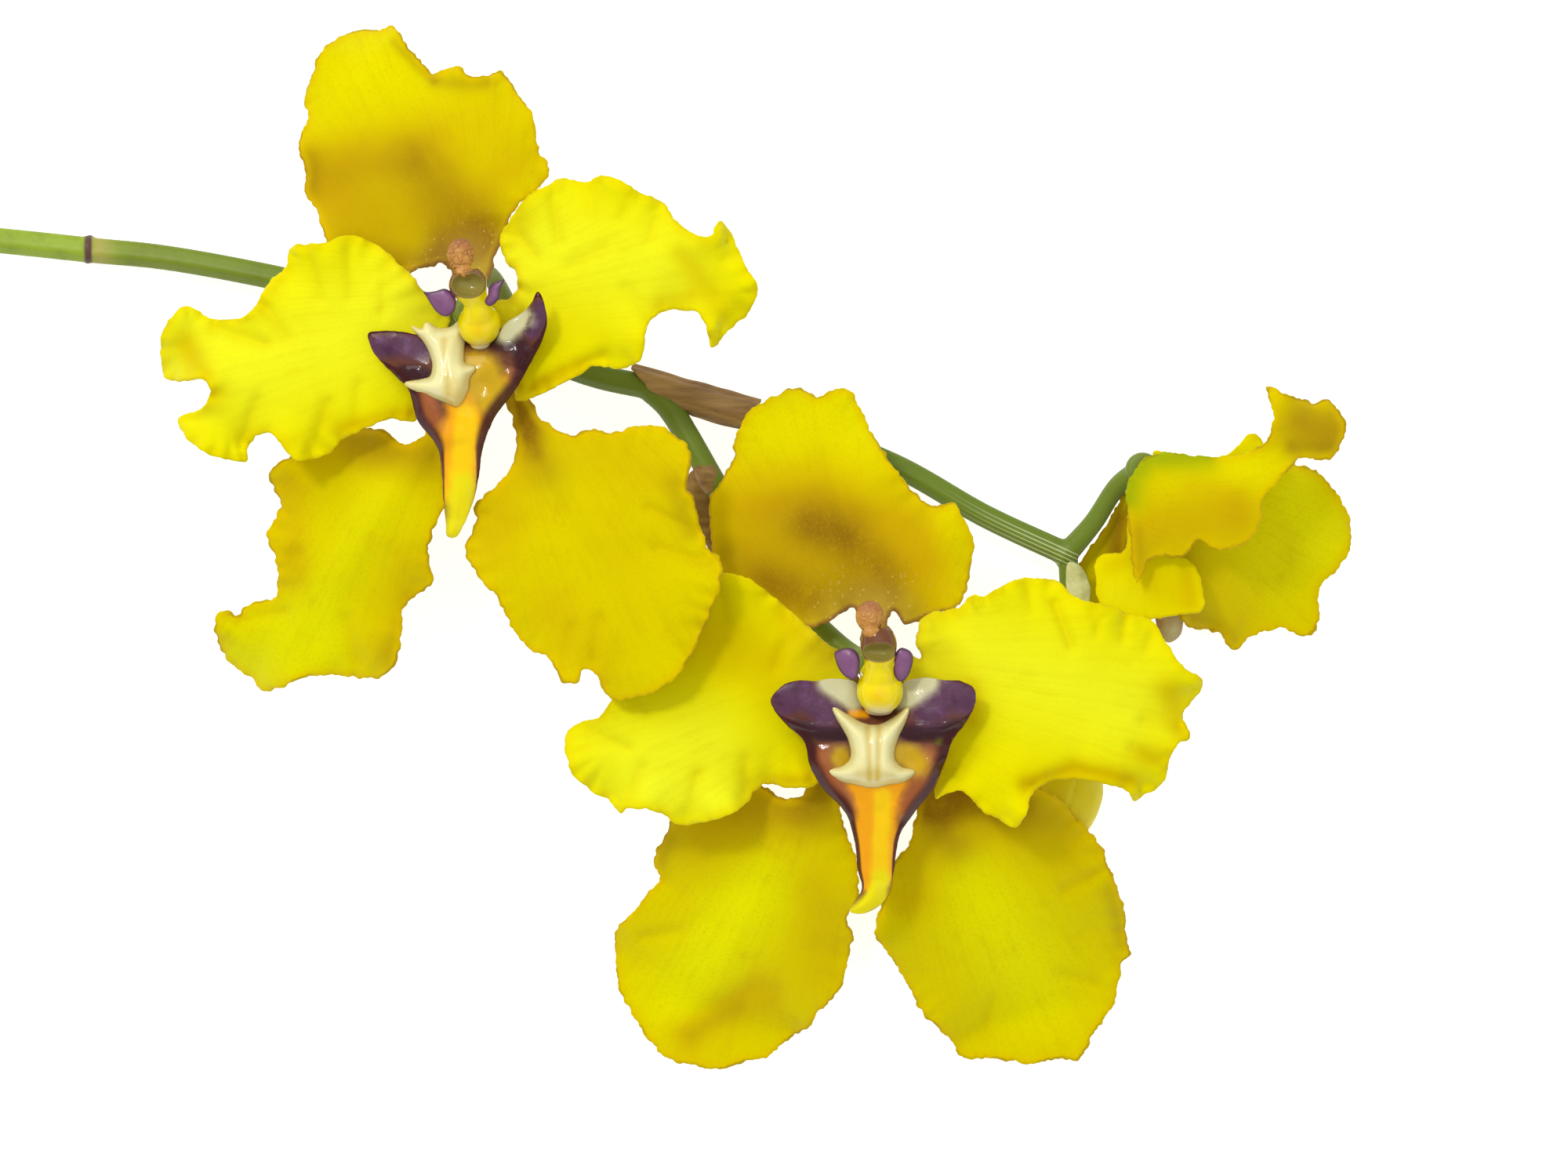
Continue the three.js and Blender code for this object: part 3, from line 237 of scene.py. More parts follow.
def move_corners(piece, points):
    """Puts the piece's points at new places in mm."""
    piece.data.vertices.foreach_set("co", (points * MM).ravel())
    piece.data.update()


def mark_corners(piece, marks):
    """Stores marks, one number for each point, for the piece's material to read."""
    for mark, values in marks.items():
        piece.data.attributes.new(mark, "FLOAT", "POINT").data.foreach_set("value", values)


def applied(piece):
    """The piece with its modifiers made part of its mesh."""
    graph = bpy.context.evaluated_depsgraph_get()
    mesh = bpy.data.meshes.new_from_object(piece.evaluated_get(graph))
    piece.modifiers.clear()
    old, piece.data = piece.data, mesh
    bpy.data.meshes.remove(old)
    return piece


def stalk_tree():
    """Geometry Nodes: a smooth skin with lengthwise ribs round a line, as thick as its girth says."""
    tree = bpy.data.node_groups.new("ribbed stalk", "GeometryNodeTree")
    for name, kind, way in (("Geometry", "Geometry", "INPUT"), ("Sides", "Int", "INPUT"),
                            ("Ribs", "Float", "INPUT"), ("Rib depth", "Float", "INPUT"),
                            ("Material", "Material", "INPUT"), ("Geometry", "Geometry", "OUTPUT")):
        tree.interface.new_socket(name, in_out=way, socket_type="NodeSocket" + kind)
    given = add_node(tree, "NodeGroupInput").node.outputs
    girth = add_node(tree, "GeometryNodeInputNamedAttribute", {"data_type": "FLOAT", "Name": "girth"})
    line = add_node(tree, "GeometryNodeMeshToCurve", {"Mesh": given["Geometry"]})
    line = add_node(tree, "GeometryNodeSetCurveRadius", {"Curve": line, "Radius": girth})
    ring = add_node(tree, "GeometryNodeCurvePrimitiveCircle", {"Radius": 1.0, "Resolution": given["Sides"]})
    swell = add_node(tree, "GeometryNodeInputIndex")
    for operation, by in (("DIVIDE", given["Sides"]), ("MULTIPLY", 2 * math.pi), ("MULTIPLY", given["Ribs"]),
                          ("COSINE", 0), ("MULTIPLY", given["Rib depth"])):
        swell = add_node(tree, "ShaderNodeMath", {"operation": operation, 0: swell, 1: by})
    place = add_node(tree, "GeometryNodeInputPosition")
    push = add_node(tree, "ShaderNodeVectorMath", {"operation": "SCALE", "Vector": place, "Scale": swell})
    ring = add_node(tree, "GeometryNodeSetPosition", {"Geometry": ring, "Offset": push})
    skin = add_node(tree, "GeometryNodeCurveToMesh", {"Curve": line, "Profile Curve": ring, "Scale": girth,
                                                      "Fill Caps": True})
    skin = add_node(tree, "GeometryNodeRealizeInstances", {"Geometry": skin})
    skin = add_node(tree, "GeometryNodeSetMaterial", {"Geometry": skin, "Material": given["Material"]})
    add_node(tree, "NodeGroupOutput", {"Geometry": skin})
    return tree


RIBBED_STALK = stalk_tree()


def make_stalk(name, sections, material, ribs=0.0, rib_depth=0.0, sides=28):
    """A stalk along sections [right, down, height, radius], as a mesh object."""
    line = spaced_line(sections, STALK_STEP)
    piece = new_piece(name, on_sheet(line)[:, :3], [], [(i, i + 1) for i in range(len(line) - 1)])
    mark_corners(piece, {"girth": line[:, 3] * MM})
    modifier = piece.modifiers.new("skin", "NODES")
    modifier.node_group = RIBBED_STALK
    values = {"Sides": sides, "Ribs": ribs, "Rib depth": rib_depth, "Material": material}
    for item in RIBBED_STALK.interface.items_tree:
        if item.in_out == "INPUT" and item.name in values:
            modifier[item.identifier] = values[item.name]
    return applied(piece)


def fuse(pieces, name, voxel_mm, smoothing):
    """Pieces that overlap become one closed skin, softened where they meet."""
    whole = pieces[0]
    whole.name = whole.data.name = name
    build = bmesh.new()
    for piece in pieces:
        build.from_mesh(piece.data)
    for piece in pieces[1:]:
        bpy.data.objects.remove(piece)
    build.to_mesh(whole.data)
    build.free()
    remesh = whole.modifiers.new("fuse", "REMESH")
    remesh.mode, remesh.voxel_size = "VOXEL", voxel_mm * MM
    soften = whole.modifiers.new("soften", "SMOOTH")
    soften.factor, soften.iterations = 0.5, smoothing
    applied(whole)
    whole.data.polygons.foreach_set("use_smooth", [True] * len(whole.data.polygons))
    return whole


def overlap(tree, *shares, top=1.0):
    """A share that is top times all the shares given. Each is a socket or number, or it goes
    smoothly from 0 where its source is at low to 1 where it is at high: (source, low, high)."""
    for share in shares:
        if isinstance(share, tuple):
            share = add_node(tree, "ShaderNodeMapRange", dict(zip(
                ("interpolation_type", "Value", "From Min", "From Max"), ("SMOOTHSTEP", *share))))
        top = add_node(tree, "ShaderNodeMath", {"operation": "MULTIPLY", 0: top, 1: share})
    return top


def surface(tree, shader, colour, height, strength, distance_mm=0.1):
    """Gives a shader its colour and the fine relief of its surface."""
    tree.links.new(colour, shader.inputs["Base Color"])
    relief = add_node(tree, "ShaderNodeBump", {"Height": height, "Strength": strength,
                                               "Distance": distance_mm * MM})
    tree.links.new(relief, shader.inputs["Normal"])


def dress(piece, material):
    """Gives a finished piece its material, and puts it in the place of its plain solid."""
    piece.data.materials.clear()
    piece.data.materials.append(material)
    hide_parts(piece.name.removesuffix("_skin"))
    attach(piece, "root")


# Green living stem skin: smooth and slightly waxy, streaked lengthwise, yellower at the stalks.
# By the last node each rib's crest is dry and pale; a thin purple-brown scar rings the stem where
# a bract fell, with a tanned stretch after it. "along" and "beside" are in mm.
GREENS = {0.0: "#8fa92f", 0.16: "#8ea52c", 0.2: "#788925", 0.32: "#6c8120", 0.58: "#50691f",
          0.75: "#607a24", 1.0: "#607720"}           # by the share of the stem's run to the right
RIB_SPACING = 0.26
stem_skin, tree, shader = new_material("green stem skin", {"Roughness": 0.45, "Specular IOR Level": 0.25})
place = add_node(tree, "ShaderNodeTexCoord", out="Object")
split = add_node(tree, "ShaderNodeSeparateXYZ", {0: place}).node.outputs
beside, along, rachis = (add_node(tree, "ShaderNodeAttribute", {"attribute_name": key}, "Fac")
                         for key in ("beside", "along", "rachis"))
streaks = add_node(tree, "ShaderNodeTexNoise", {"Vector": place, "Scale": 420.0, "Detail": 4.0,
                                                "Roughness": 0.6})
high, right, dark = (
    add_node(tree, "ShaderNodeMapRange", {"Value": source, "From Min": low, "From Max": most, "To Max": top})
    for source, low, most, top in (
        (split["Z"], 0.006, 0.022, 1.0), (split["X"], -0.095, 0.06, 1.0), (streaks, 0.42, 0.75, 0.35)))
greens = add_node(tree, "ShaderNodeValToRGB", {"Fac": right})
stops = greens.node.color_ramp.elements          # a new ramp has a stop at each end already
for share, tint in GREENS.items():
    stop = stops[-int(share)] if share in (0.0, 1.0) else stops.new(share)
    stop.color = linear(tint)
shifted = add_node(tree, "ShaderNodeMath", {"operation": "ADD", 0: beside, 1: -0.1})
from_rib = add_node(tree, "ShaderNodeMath", {"operation": "PINGPONG", 0: shifted, 1: RIB_SPACING})
colour = coated(tree, greens, [
    ("#75832a", high), ("#5a6620", dark),
    ("#b3bd92", overlap(tree, (from_rib, 0.11, 0.02), (along, 119, 134), rachis, (beside, -0.62, -0.5))),
    ("#a09c48", overlap(tree, (along, 10.2, 10.8), (along, 14.5, 11))),
    ("#5b3f3a", overlap(tree, (along, 9.3, 9.8), (along, 10.7, 10.3)))])
surface(tree, shader, colour, streaks, 0.25, distance_mm=0.2)

parts = [make_stalk("stem", RACHIS, stem_skin, ribs=5.0, rib_depth=0.06, sides=40)]
for name, sections in STALKS.items():
    ribs = dict(ribs=4.0, rib_depth=0.03) if name == "side_branch" else {}
    parts.append(make_stalk(name, sections, stem_skin, **ribs))
for i, (right, down, height, heading) in enumerate(NODES):
    run = math.cos(math.radians(heading)), -math.sin(math.radians(heading))
    ring = [(right + run[0] * s, down + run[1] * s, height, girth) for s, girth in RING]
    parts.append(make_stalk(f"node_ring_{i}", ring, stem_skin))
for name, (right, down, height) in SEATS.items():
    parts.append(make_stalk(f"cup_{name}", [(right, down, height + z, r) for z, r in CUP], stem_skin))
stem = fuse(parts, "stem_skin", STEM_VOXEL, smoothing=3)
points = corners_of(stem)
points[:, 2] = np.maximum(points[:, 2], LOWEST)
move_corners(stem, points)

# How far each point lies beside the rachis's middle line and along it, for its ribs and scar.
line = on_sheet(spaced_line(RACHIS, 0.5))[:, :3]
near = in_blocks(lambda some: np.linalg.norm(some[:, None] - line[None], axis=-1).argmin(axis=1), points)
run = np.gradient(line, axis=0)
run = (run / np.linalg.norm(run, axis=1)[:, None])[near]
arm = points - line[near]
mark_corners(stem, {"beside": arm[:, 0] * run[:, 1] - arm[:, 1] * run[:, 0],
                    "along": points[:, 0] + ORIGIN_RIGHT,
                    "rachis": (np.linalg.norm(arm, axis=1) < RACHIS_GIRTH) * 1.0})
dress(stem, stem_skin)

# ---- Sepals ---------------------------------------------------------------------------------
# The three outer leaves of each bloom, firm and a little fleshy, with a finely toothed and waved
# margin. They are yellow with a brown-olive claw, and grew out of the receptacle under the petals.

# How a sepal stands over the sheet: seat, rise and droop shape the bloom's dish, belly fills its
# middle, and waves of a height (crisp) run round its margin. Teeth, crimp and ruffle are the fine
# margin, and its veins fan from a point that lies veins_from behind the claw. All in mm.
SEPAL_SHAPE = dict(seat=-0.6, rise=0.05, droop=0.003, belly=0.9, waves=9, crisp=0.8, ruffle=1,
                   teeth=0.34, crimp=0.35, veins_from=9, far=0)
# Where each bloom's middle lies, how it leans, and which side its face is on. The third one has
# turned over, so its blades lie freely and only follow their own lifts, far from the claw's flush.
BLOOMS = {
    "bloom_1": dict(centre=(60, 39.8, 27), lean=0.12, side=1),
    "bloom_2": dict(centre=(111.2, 84.5, 20), lean=0, side=1),
    "bloom_3": dict(centre=(146, 59.8, 0), lean=0, side=-1, seat=0, rise=0, droop=0, belly=0, waves=0,
                    crisp=0, far=15),
}
# Outlines go from the claw round the margin, as [right, down] and how far the margin is lifted
# there. Strokes of colour are [line, radius, strength], strokes of relief [line, radius, height].
SEPALS = {
    "bloom_1_dorsal_sepal": dict(droop=0.004, tip=(47, 4),
        outline=[(59.1, 37.2), (61.1, 37.2), (62.6, 35), (63.2, 32.6), (64.5, 29.5), (66.2, 26.2),
            (68.5, 24.3), (70.1, 21.7), (68.7, 19.3), (68, 15), (66.2, 12.2), (63.8, 9.3), (60.2, 9.8),
            (58, 8.6), (55.2, 9.5), (54, 8.3), (51.5, 5.2), (50.2, 3.3, -1.5), (48, 3.7, -1.5),
            (46, 3.6, -1.5), (44, 4.1, -1), (41, 6.3), (39.7, 9.5), (38.8, 12.5), (39.2, 15.5),
            (38, 18.3), (39, 21.5), (38.9, 24.5), (40.2, 26.6), (41.1, 29), (42.5, 32), (47, 34.6),
            (52, 34.8), (57, 33.7, -0.5)],
        keel=dict(line=[(60, 33), (58, 26), (54, 19), (50, 11), (48, 6)], depth=-0.6, width=1.6),
        # Its lemon strokes are partly painted light, where its top faces the light.
        # Its shade strokes, and the brown under its crease and under the rolled notch at the top right, are
        # painted shade.
        # The brown at its claw and along its left margin is its own.
        lemon=[([(46, 8), (44.5, 13)], 6.5, 0.42), ([(53, 11)], 5, 0.2)],
        shade=[([(41, 21), (48, 19.5), (55, 19)], 4.4, 0.7), ([(43, 27), (50, 28), (57, 27)], 5.5, 0.75),
            ([(62, 14), (66, 20)], 4, 0.25), ([(62, 25), (64, 22)], 3, 0.4)],
        brown=[([(53.5, 22), (57, 24.5), (60, 29.5)], 3.8, 0.5),
            ([(44, 32.5), (54, 34), (61, 32)], 2.2, 0.6), ([(45, 28), (55, 29.5)], 5, 0.24),
            ([(39.5, 20), (39.6, 26)], 1.4, 0.35), ([(50.4, 5.4), (53.2, 8.4), (55.4, 10.2)], 0.7, 0.4),
            ([(55.6, 10.4), (59, 10.8), (62, 10.6)], 1.1, 0.4), ([(58, 31.5), (62, 29.5)], 3, 0.6),
            ([(41, 22), (52, 20)], 3, 0.26)],
        relief=[([(40, 20), (48, 18), (54, 18.6), (58, 23), (60.5, 30)], 1.4, -0.12)]),
    "bloom_1_left_sepal": dict(rise=0, droop=0.0045, tip=(32, 86),
        outline=[(59.4, 42.5), (58, 41.8), (57, 44), (55.6, 49), (54.9, 54.2, -0.6), (53, 56.5, -1),
            (51, 56.6, -1.5), (48.7, 54.9, -2), (45, 54.8, -3), (41, 55.5, -3), (37.5, 57.8, -2),
            (35.2, 59), (34.2, 60.5), (35, 62.7), (35.5, 64), (35, 66.2), (33.8, 68.3), (34.9, 71),
            (35, 74), (34.9, 76), (32, 76.9), (30.3, 77.8), (30, 78.6), (27.4, 78), (26.8, 80),
            (27.3, 82.2, -1), (28.7, 84.7, -1.5), (31.2, 86.5, -1.5), (32.8, 88.2, -1.5), (36.5, 87.3),
            (38, 86.6), (41.3, 86), (47.8, 86.5), (50, 84.8), (51, 81), (51.1, 78), (52.5, 76),
            (55, 74.2), (54.6, 72), (55, 68), (56.8, 63.8), (56.4, 60), (56.9, 56), (58.2, 50),
            (59.2, 45)],
        keel=dict(line=[(58, 46), (54, 56), (47, 68), (39, 79), (34, 85)], depth=0.5, width=2.2),
        lemon=[([(48, 64), (41, 75)], 4.5, 0.5), ([(30, 84), (40, 82)], 5.5, 0.9)],
        green=[([(31, 84), (42, 76), (48, 66)], 4, 0.14)],
        shade=[([(42, 57), (52, 57)], 4, 0.6), ([(37, 62), (37, 73)], 2.5, 0.5),
            ([(53, 72), (49, 82)], 3, 0.4)],
        brown=[([(58, 45), (57, 51)], 2.5, 0.6), ([(46, 56.5), (55, 57.5)], 2.8, 0.5),
            ([(49, 84), (52, 76)], 1, 0.3)],
        relief=[([(34, 71), (38, 70.5)], 0.9, -0.3), ([(31, 79), (36, 78)], 0.9, -0.4),
            ([(45, 84), (44, 79)], 1.0, -0.4)]),
    "bloom_1_right_sepal": dict(rise=0.1, droop=0.0016, tip=(82, 86),
        outline=[(61.2, 42.3), (62.6, 41), (64, 44), (65.4, 48), (67.4, 50.8), (69, 53.5), (71.5, 55.2),
            (73.5, 55.5), (75.5, 54.9), (78, 55.3), (82, 54.5), (84, 54.6), (85.5, 55.3), (88, 57.5),
            (87.6, 62.5), (88.5, 63.5), (89.3, 67), (90.8, 70.5), (91.9, 71), (92.1, 72.5), (91.3, 76.5),
            (89.8, 80), (88, 83.8), (85.8, 86.5, -0.5), (83, 88.2, -1), (78, 89, -1), (76, 85.8),
            (74.8, 85.5), (73, 87.2), (71, 85.5), (70.3, 84), (67.5, 82.5), (65.5, 80), (63.7, 76.2),
            (62, 74.5), (60.5, 72.5), (59.5, 70), (61, 66.2), (60.6, 65), (62, 63.2), (64, 61.5),
            (65.5, 59.7), (66.1, 57), (65.6, 54), (64.4, 50), (62.6, 45.5)],
        keel=dict(line=[(63, 46), (66.5, 53), (70, 62), (76, 73), (81, 84)], depth=-0.5, width=1.4),
        shade=[([(66, 57), (63, 70)], 4, 0.6), ([(70, 78), (76, 84)], 4, 0.4),
            ([(76, 57), (85, 60)], 4, 0.4), ([(78, 66), (80, 74)], 5, 0.2)],
        brown=[([(63.5, 44), (67, 54)], 2.4, 0.65), ([(66.6, 52), (68.6, 58)], 1.1, 0.35),
            ([(67, 56), (70, 60)], 3, 0.4), ([(86, 62), (88, 68)], 1.5, 0.3)],
        relief=[([(83, 65), (89, 68)], 0.9, -0.5), ([(84, 70), (91, 72)], 0.9, -0.5),
            ([(72, 85), (73, 80)], 0.9, -0.4), ([(76, 84), (76.5, 79)], 0.9, -0.4)]),
    "bloom_2_dorsal_sepal": dict(rise=0.02, tip=(105, 50),
        outline=[(110.2, 81.9), (112.2, 81.9), (113, 79.8), (114, 77.9), (115.5, 79.6), (118.2, 78.6),
            (122.5, 77), (123.5, 74), (124.3, 69.5), (123.2, 66.7), (121.6, 64.2, 0.5),
            (119.5, 64.7, 0.5), (118, 64, 0.5), (115, 61), (112, 56.5), (110.2, 53), (108.5, 50, -0.5),
            (107, 49.5, -0.5), (104.3, 50.6), (102, 49.5), (100.5, 49.6), (97.8, 51), (95.5, 52.5),
            (93.7, 56.5), (93.6, 58.5), (92, 61.2), (90.5, 63.7), (90.7, 67), (91, 71), (93, 73.8),
            (96.5, 75.5), (100, 78.5), (103.5, 80), (106.5, 78.8), (108.8, 77.4), (109.8, 79.4)],
        keel=dict(line=[(111, 79), (110, 73), (108, 66), (106, 58), (104, 52)], depth=-0.7, width=1.8),
        lemon=[([(98, 56), (108, 54)], 6, 0.6), ([(121, 66), (122, 72)], 3, 0.3),
            # The thin lemon line over the column is a painted highlight on a fold.
            ([(112.4, 72.6), (112.6, 76.2)], 0.4, 1.0)],
        # Its shade strokes are painted shade in the hollow where it folds back; the dark brown patch there
        # is partly its own brown and partly painted shade.
        shade=[([(95, 64), (104, 63), (113, 67)], 5, 0.7), ([(98, 72), (114, 72)], 6.5, 0.75),
            ([(117, 70), (119, 75)], 3.5, 0.4)],
        brown=[([(104, 66.4), (108, 67.8)], 3.4, 0.75), ([(99, 66), (112, 72)], 3.4, 0.35),
            ([(99, 74), (106, 76), (113, 75)], 4, 0.5), ([(93, 71), (98, 74.5), (103, 77)], 2.8, 0.45),
            ([(112, 70), (113.5, 76)], 2.4, 0.15)],
        relief=[([(97, 65), (105, 63.5), (111, 67)], 1.8, -0.3), ([(113, 70), (113.5, 76)], 1.4, -0.12)]),
    "bloom_2_left_sepal": dict(rise=-0.05, droop=0.0063, tip=(85, 135),
        outline=[(109.5, 86.7), (108.2, 85.5), (106.5, 90), (104.8, 95), (103.6, 99.8), (101.5, 102),
            (99.5, 101.9), (97, 100.5), (92, 100.5), (87.5, 102.5), (85.5, 105), (84.5, 107.5),
            (83.2, 110), (83.6, 111.5), (84.2, 112.6), (82.2, 114.5), (80.5, 117), (78.4, 119),
            (78.2, 122.5), (78.9, 127.5), (81, 131, -1), (82.8, 133.8, -2), (84.5, 135.7, -3),
            (89, 136.8, -4), (91.8, 137.3, -4), (94.5, 136.4, -3), (97.8, 135.5, -2), (101, 133, -1),
            (103, 131.8), (104.2, 129.8), (106.2, 128), (107.6, 125.5), (108.5, 121), (108.9, 120),
            (108, 117.5), (109.2, 115.5), (109.5, 113), (109, 109.5), (108.3, 107.5), (107.3, 104),
            (107.2, 99), (109, 91.5)],
        keel=dict(line=[(108, 90), (104, 99), (98, 112), (91, 126), (86, 134)], depth=0.3, width=2.0),
        lemon=[([(100, 108), (92, 120), (87, 127)], 6, 1.0)],
        shade=[([(90, 105), (102, 103)], 5.5, 0.7), ([(104, 112), (105, 124)], 3.5, 0.45),
            ([(97, 127), (91, 131), (87.5, 133.5)], 2.8, 0.6)],
        brown=[([(94, 102.5), (105, 103)], 3.2, 0.4), ([(105.5, 98.5), (102, 104)], 2.6, 0.3),
            ([(107, 90), (105, 99)], 2, 0.35), ([(94, 129), (88, 133)], 1.2, 0.25),
            ([(85, 107), (84, 111)], 1.2, 0.4)],
        relief=[([(95.5, 126.5), (86.5, 132.5)], 1.3, -0.3), ([(82, 120), (87, 119)], 1.0, -0.4),
            ([(100, 132), (99, 127)], 1.0, -0.4)]),
    "bloom_2_right_sepal": dict(rise=-0.05, droop=0.0063, tip=(138, 135),
        outline=[(114.2, 85.6), (112.8, 86.8), (114.5, 91.5), (116.5, 97), (117.2, 102), (116.8, 105),
            (116, 108.2), (114, 110.8), (113.6, 113.5), (111.9, 117.8), (112, 120), (113.8, 122.5),
            (116.2, 126.5), (118, 130), (120, 131.8), (122.2, 134.2, -1), (123, 135.6, -2),
            (126.5, 135.8, -3), (132.5, 136.5, -4), (136, 135.8, -3), (138, 136.1, -2),
            (140.2, 132.5, -1), (142.7, 128.5), (143.8, 123.5), (144.7, 122.6), (144.3, 120.2),
            (143.8, 116.5), (141.8, 111), (140.3, 107.4), (138.5, 105.5), (135, 102), (130, 99.5),
            (125, 99), (121.2, 99.8), (119.6, 99), (118.4, 95), (116.6, 90)],
        keel=dict(line=[(115, 90), (118.5, 99), (125, 111), (132, 123), (137, 133)], depth=-0.35,
            width=1.5),
        lemon=[([(124, 112), (132, 126)], 7, 0.8)],
        # Along its top, the shade strokes and the brown further right are painted shadow of the right petal
        # that lies over it; the brown at the claw is its own.
        shade=[([(119, 104), (117, 114)], 3.5, 0.5), ([(124, 104), (136, 107)], 5, 0.5)],
        brown=[([(115, 90), (119, 101)], 3, 0.8), ([(119, 104), (122, 108)], 2.6, 0.5),
            ([(120, 101.5), (129, 102.5)], 3, 0.85), ([(129, 102.5), (134, 104)], 2.6, 0.3),
            ([(142, 114), (144, 121)], 1.2, 0.3)],
        relief=[([(140, 112), (136, 114)], 1.0, -0.5), ([(126, 133), (127, 128)], 1.0, -0.4),
            ([(140, 126), (136, 125)], 1.0, -0.4)]),
    "bloom_3_dorsal_sepal": dict(belly=1, ruffle=0.3, tip=(171, 54),
        outline=[(144.9, 60.2, 16.9), (144.1, 62.2, 16.8), (144, 64.4, 16.4), (144.3, 67, 16),
            (144.6, 70.5, 15.5), (144.8, 73.2, 15), (145.2, 74.4, 15), (145.9, 73.4, 15), (147, 71.2, 15),
            (148.5, 70.8, 15.2), (151.5, 70.8, 15.5), (153, 69, 16), (156, 70, 16), (159.5, 68.8, 16.5),
            (161.2, 66, 17.5), (161.2, 63.5, 18.5), (164.5, 60, 19), (165.8, 58.6, 17.5), (170.5, 58, 15),
            (172, 54, 14), (171.2, 52.6, 14), (169.7, 50.7, 14.5), (168.5, 51.3, 15), (166.8, 51, 16.5),
            (164.2, 50.3, 19), (161.8, 49.3, 18), (162.7, 53, 19.5), (161.5, 56.5, 19), (156, 58.3, 17),
            (151.5, 58, 16.9), (148.8, 57.7, 16.9), (146.5, 58.4, 16.9)],
        lemon=[([(152, 60), (160, 60)], 3, 0.4)],
        shade=[([(147, 67), (158, 66.5)], 3.5, 0.7), ([(153, 62), (158, 64)], 2.5, 0.4),
            ([(166, 54), (170, 55)], 3, 0.9)],
        brown=[([(145, 68), (145.6, 73)], 1.2, 0.5), ([(165, 57), (170, 57)], 1.2, 0.5),
            ([(166, 54), (170, 54.6)], 2.4, 0.4)],
        green=[([(144, 63.5), (144.6, 60.5), (147, 58.2), (154, 58)], 2, 1.0)]),
    "bloom_3_left_sepal": dict(belly=0.5, ruffle=0.3, waves=6, crisp=0.4,
        outline=[(146.6, 61.8, 11.4), (145, 61.8, 11.4), (143.4, 63.5, 10), (141.8, 66.5, 8),
            (139.8, 69.5, 5.8), (137.4, 73, 4.6), (134.8, 77, 3.6), (132.5, 81, 2.6), (132.5, 84.5, 1.6),
            (134.5, 87.5, 1.1), (138, 88.5, 1), (141.5, 86.5, 1.3), (143.5, 82.5, 2), (144, 78, 3.2),
            (144.1, 73, 5), (144.3, 68.5, 7.5), (145.2, 64.5, 9.8)],
        shade=[([(136, 74), (134, 83)], 3, 0.5)],
        brown=[([(143.5, 66), (143, 71)], 2, 0.9)]),
    "bloom_3_right_sepal": dict(belly=0.6, ruffle=0.4, waves=8, crisp=0.5, tip=(169, 79),
        outline=[(148.1, 61.9, 12.8), (150.5, 61.6, 11.6), (155, 60.4, 10.4), (160, 59.3, 9),
            (165, 59, 7.3), (169, 60.3, 5.3), (172, 64, 3), (173.5, 68.5, 0.6), (171.5, 72.5, -1.2),
            (169.3, 75.2, -2), (169.2, 79, -2.6), (167.5, 81.3, -2.6), (165, 80.3, -2),
            (163.5, 80.2, -0.6), (160, 81.5, 0.8), (158.1, 83, 1.2), (156, 80.6, 3), (151.6, 79.6, 7.2),
            (150.5, 77, 8), (149, 72, 9.2), (148, 67, 11.2), (147.1, 62.6, 12.9)],
        lemon=[([(165, 63), (170, 68)], 5, 0.8), ([(158, 68), (164, 74)], 5, 0.5)],
        shade=[([(155, 72), (158, 79)], 4, 0.25)],
        brown=[([(157, 82), (153, 79)], 2, 0.4), ([(150, 66), (150, 76)], 3, 0.4)]),
}
# Brown is a sepal's own claw colour, and in a few creases and shadows it deepens painted shade; on petals it
# only does that.
# Lemon is the blade's own clearer yellow, and partly painted light where a blade faces the light.
# Shade strokes are painted shade: where a blade bends away from the light, turns under, or lies in a shadow.
BLADE_STROKES = ("lemon", "shade", "brown", "green")     # colours brushed on a blade, in order

SOLID_STEP = 2.6          # spacing of the margin's points on the plain solid that is dressed here
MARGIN_STEP, LATTICE = 0.26, 0.42
JITTER, RIM_GAP = 0.2, 0.55          # of the net's points, as shares of the lattice
REST_HEIGHT = 0.32        # a blade's middle lies no lower over the table
BELLY_REACH = 5           # how far in from the margin the belly is full and the waves are gone
CRIMP_SPACING, CRIMP_REACH = 2.8, 1.7
EDGE_HALF, BODY_HALF, BODY_REACH = 0.14, 0.34, 2.5      # half thickness at the edge and far from it


def turning(margin):
    """1 for a closed line that runs anticlockwise, -1 for one that runs clockwise."""
    x, y = margin[:, 0], margin[:, 1]
    return np.sign(np.sum(x * np.roll(y, -1) - np.roll(x, -1) * y))


def margin_line(outline, step):
    """The closed margin [x, y, lift] and how far round it each point is, as a share."""
    margin = spaced_line(on_sheet([(*p, 0)[:3] for p in outline]), step, closed=True)
    share = np.arange(len(margin)) / len(margin)
    if turning(margin) < 0:
        share = 1 - share - SOLID_STEP / (len(margin) * step)
    return margin, share


def nearest_margin(places, margin):
    """Each place's distance to the margin and the index of the margin's nearest point."""
    start, run = margin[:, :2], np.roll(margin[:, :2], -1, axis=0) - margin[:, :2]

    def rule(some):
        arm = some[:, None] - start[None]
        t = np.clip((arm * run).sum(-1) / (run ** 2).sum(-1), 0, 1)
        away = np.linalg.norm(arm - t[..., None] * run, axis=-1)
        near = away.argmin(axis=1)
        return np.column_stack([away[np.arange(len(some)), near], near])
    found = in_blocks(rule, places)
    return found[:, 0], found[:, 1].astype(int)


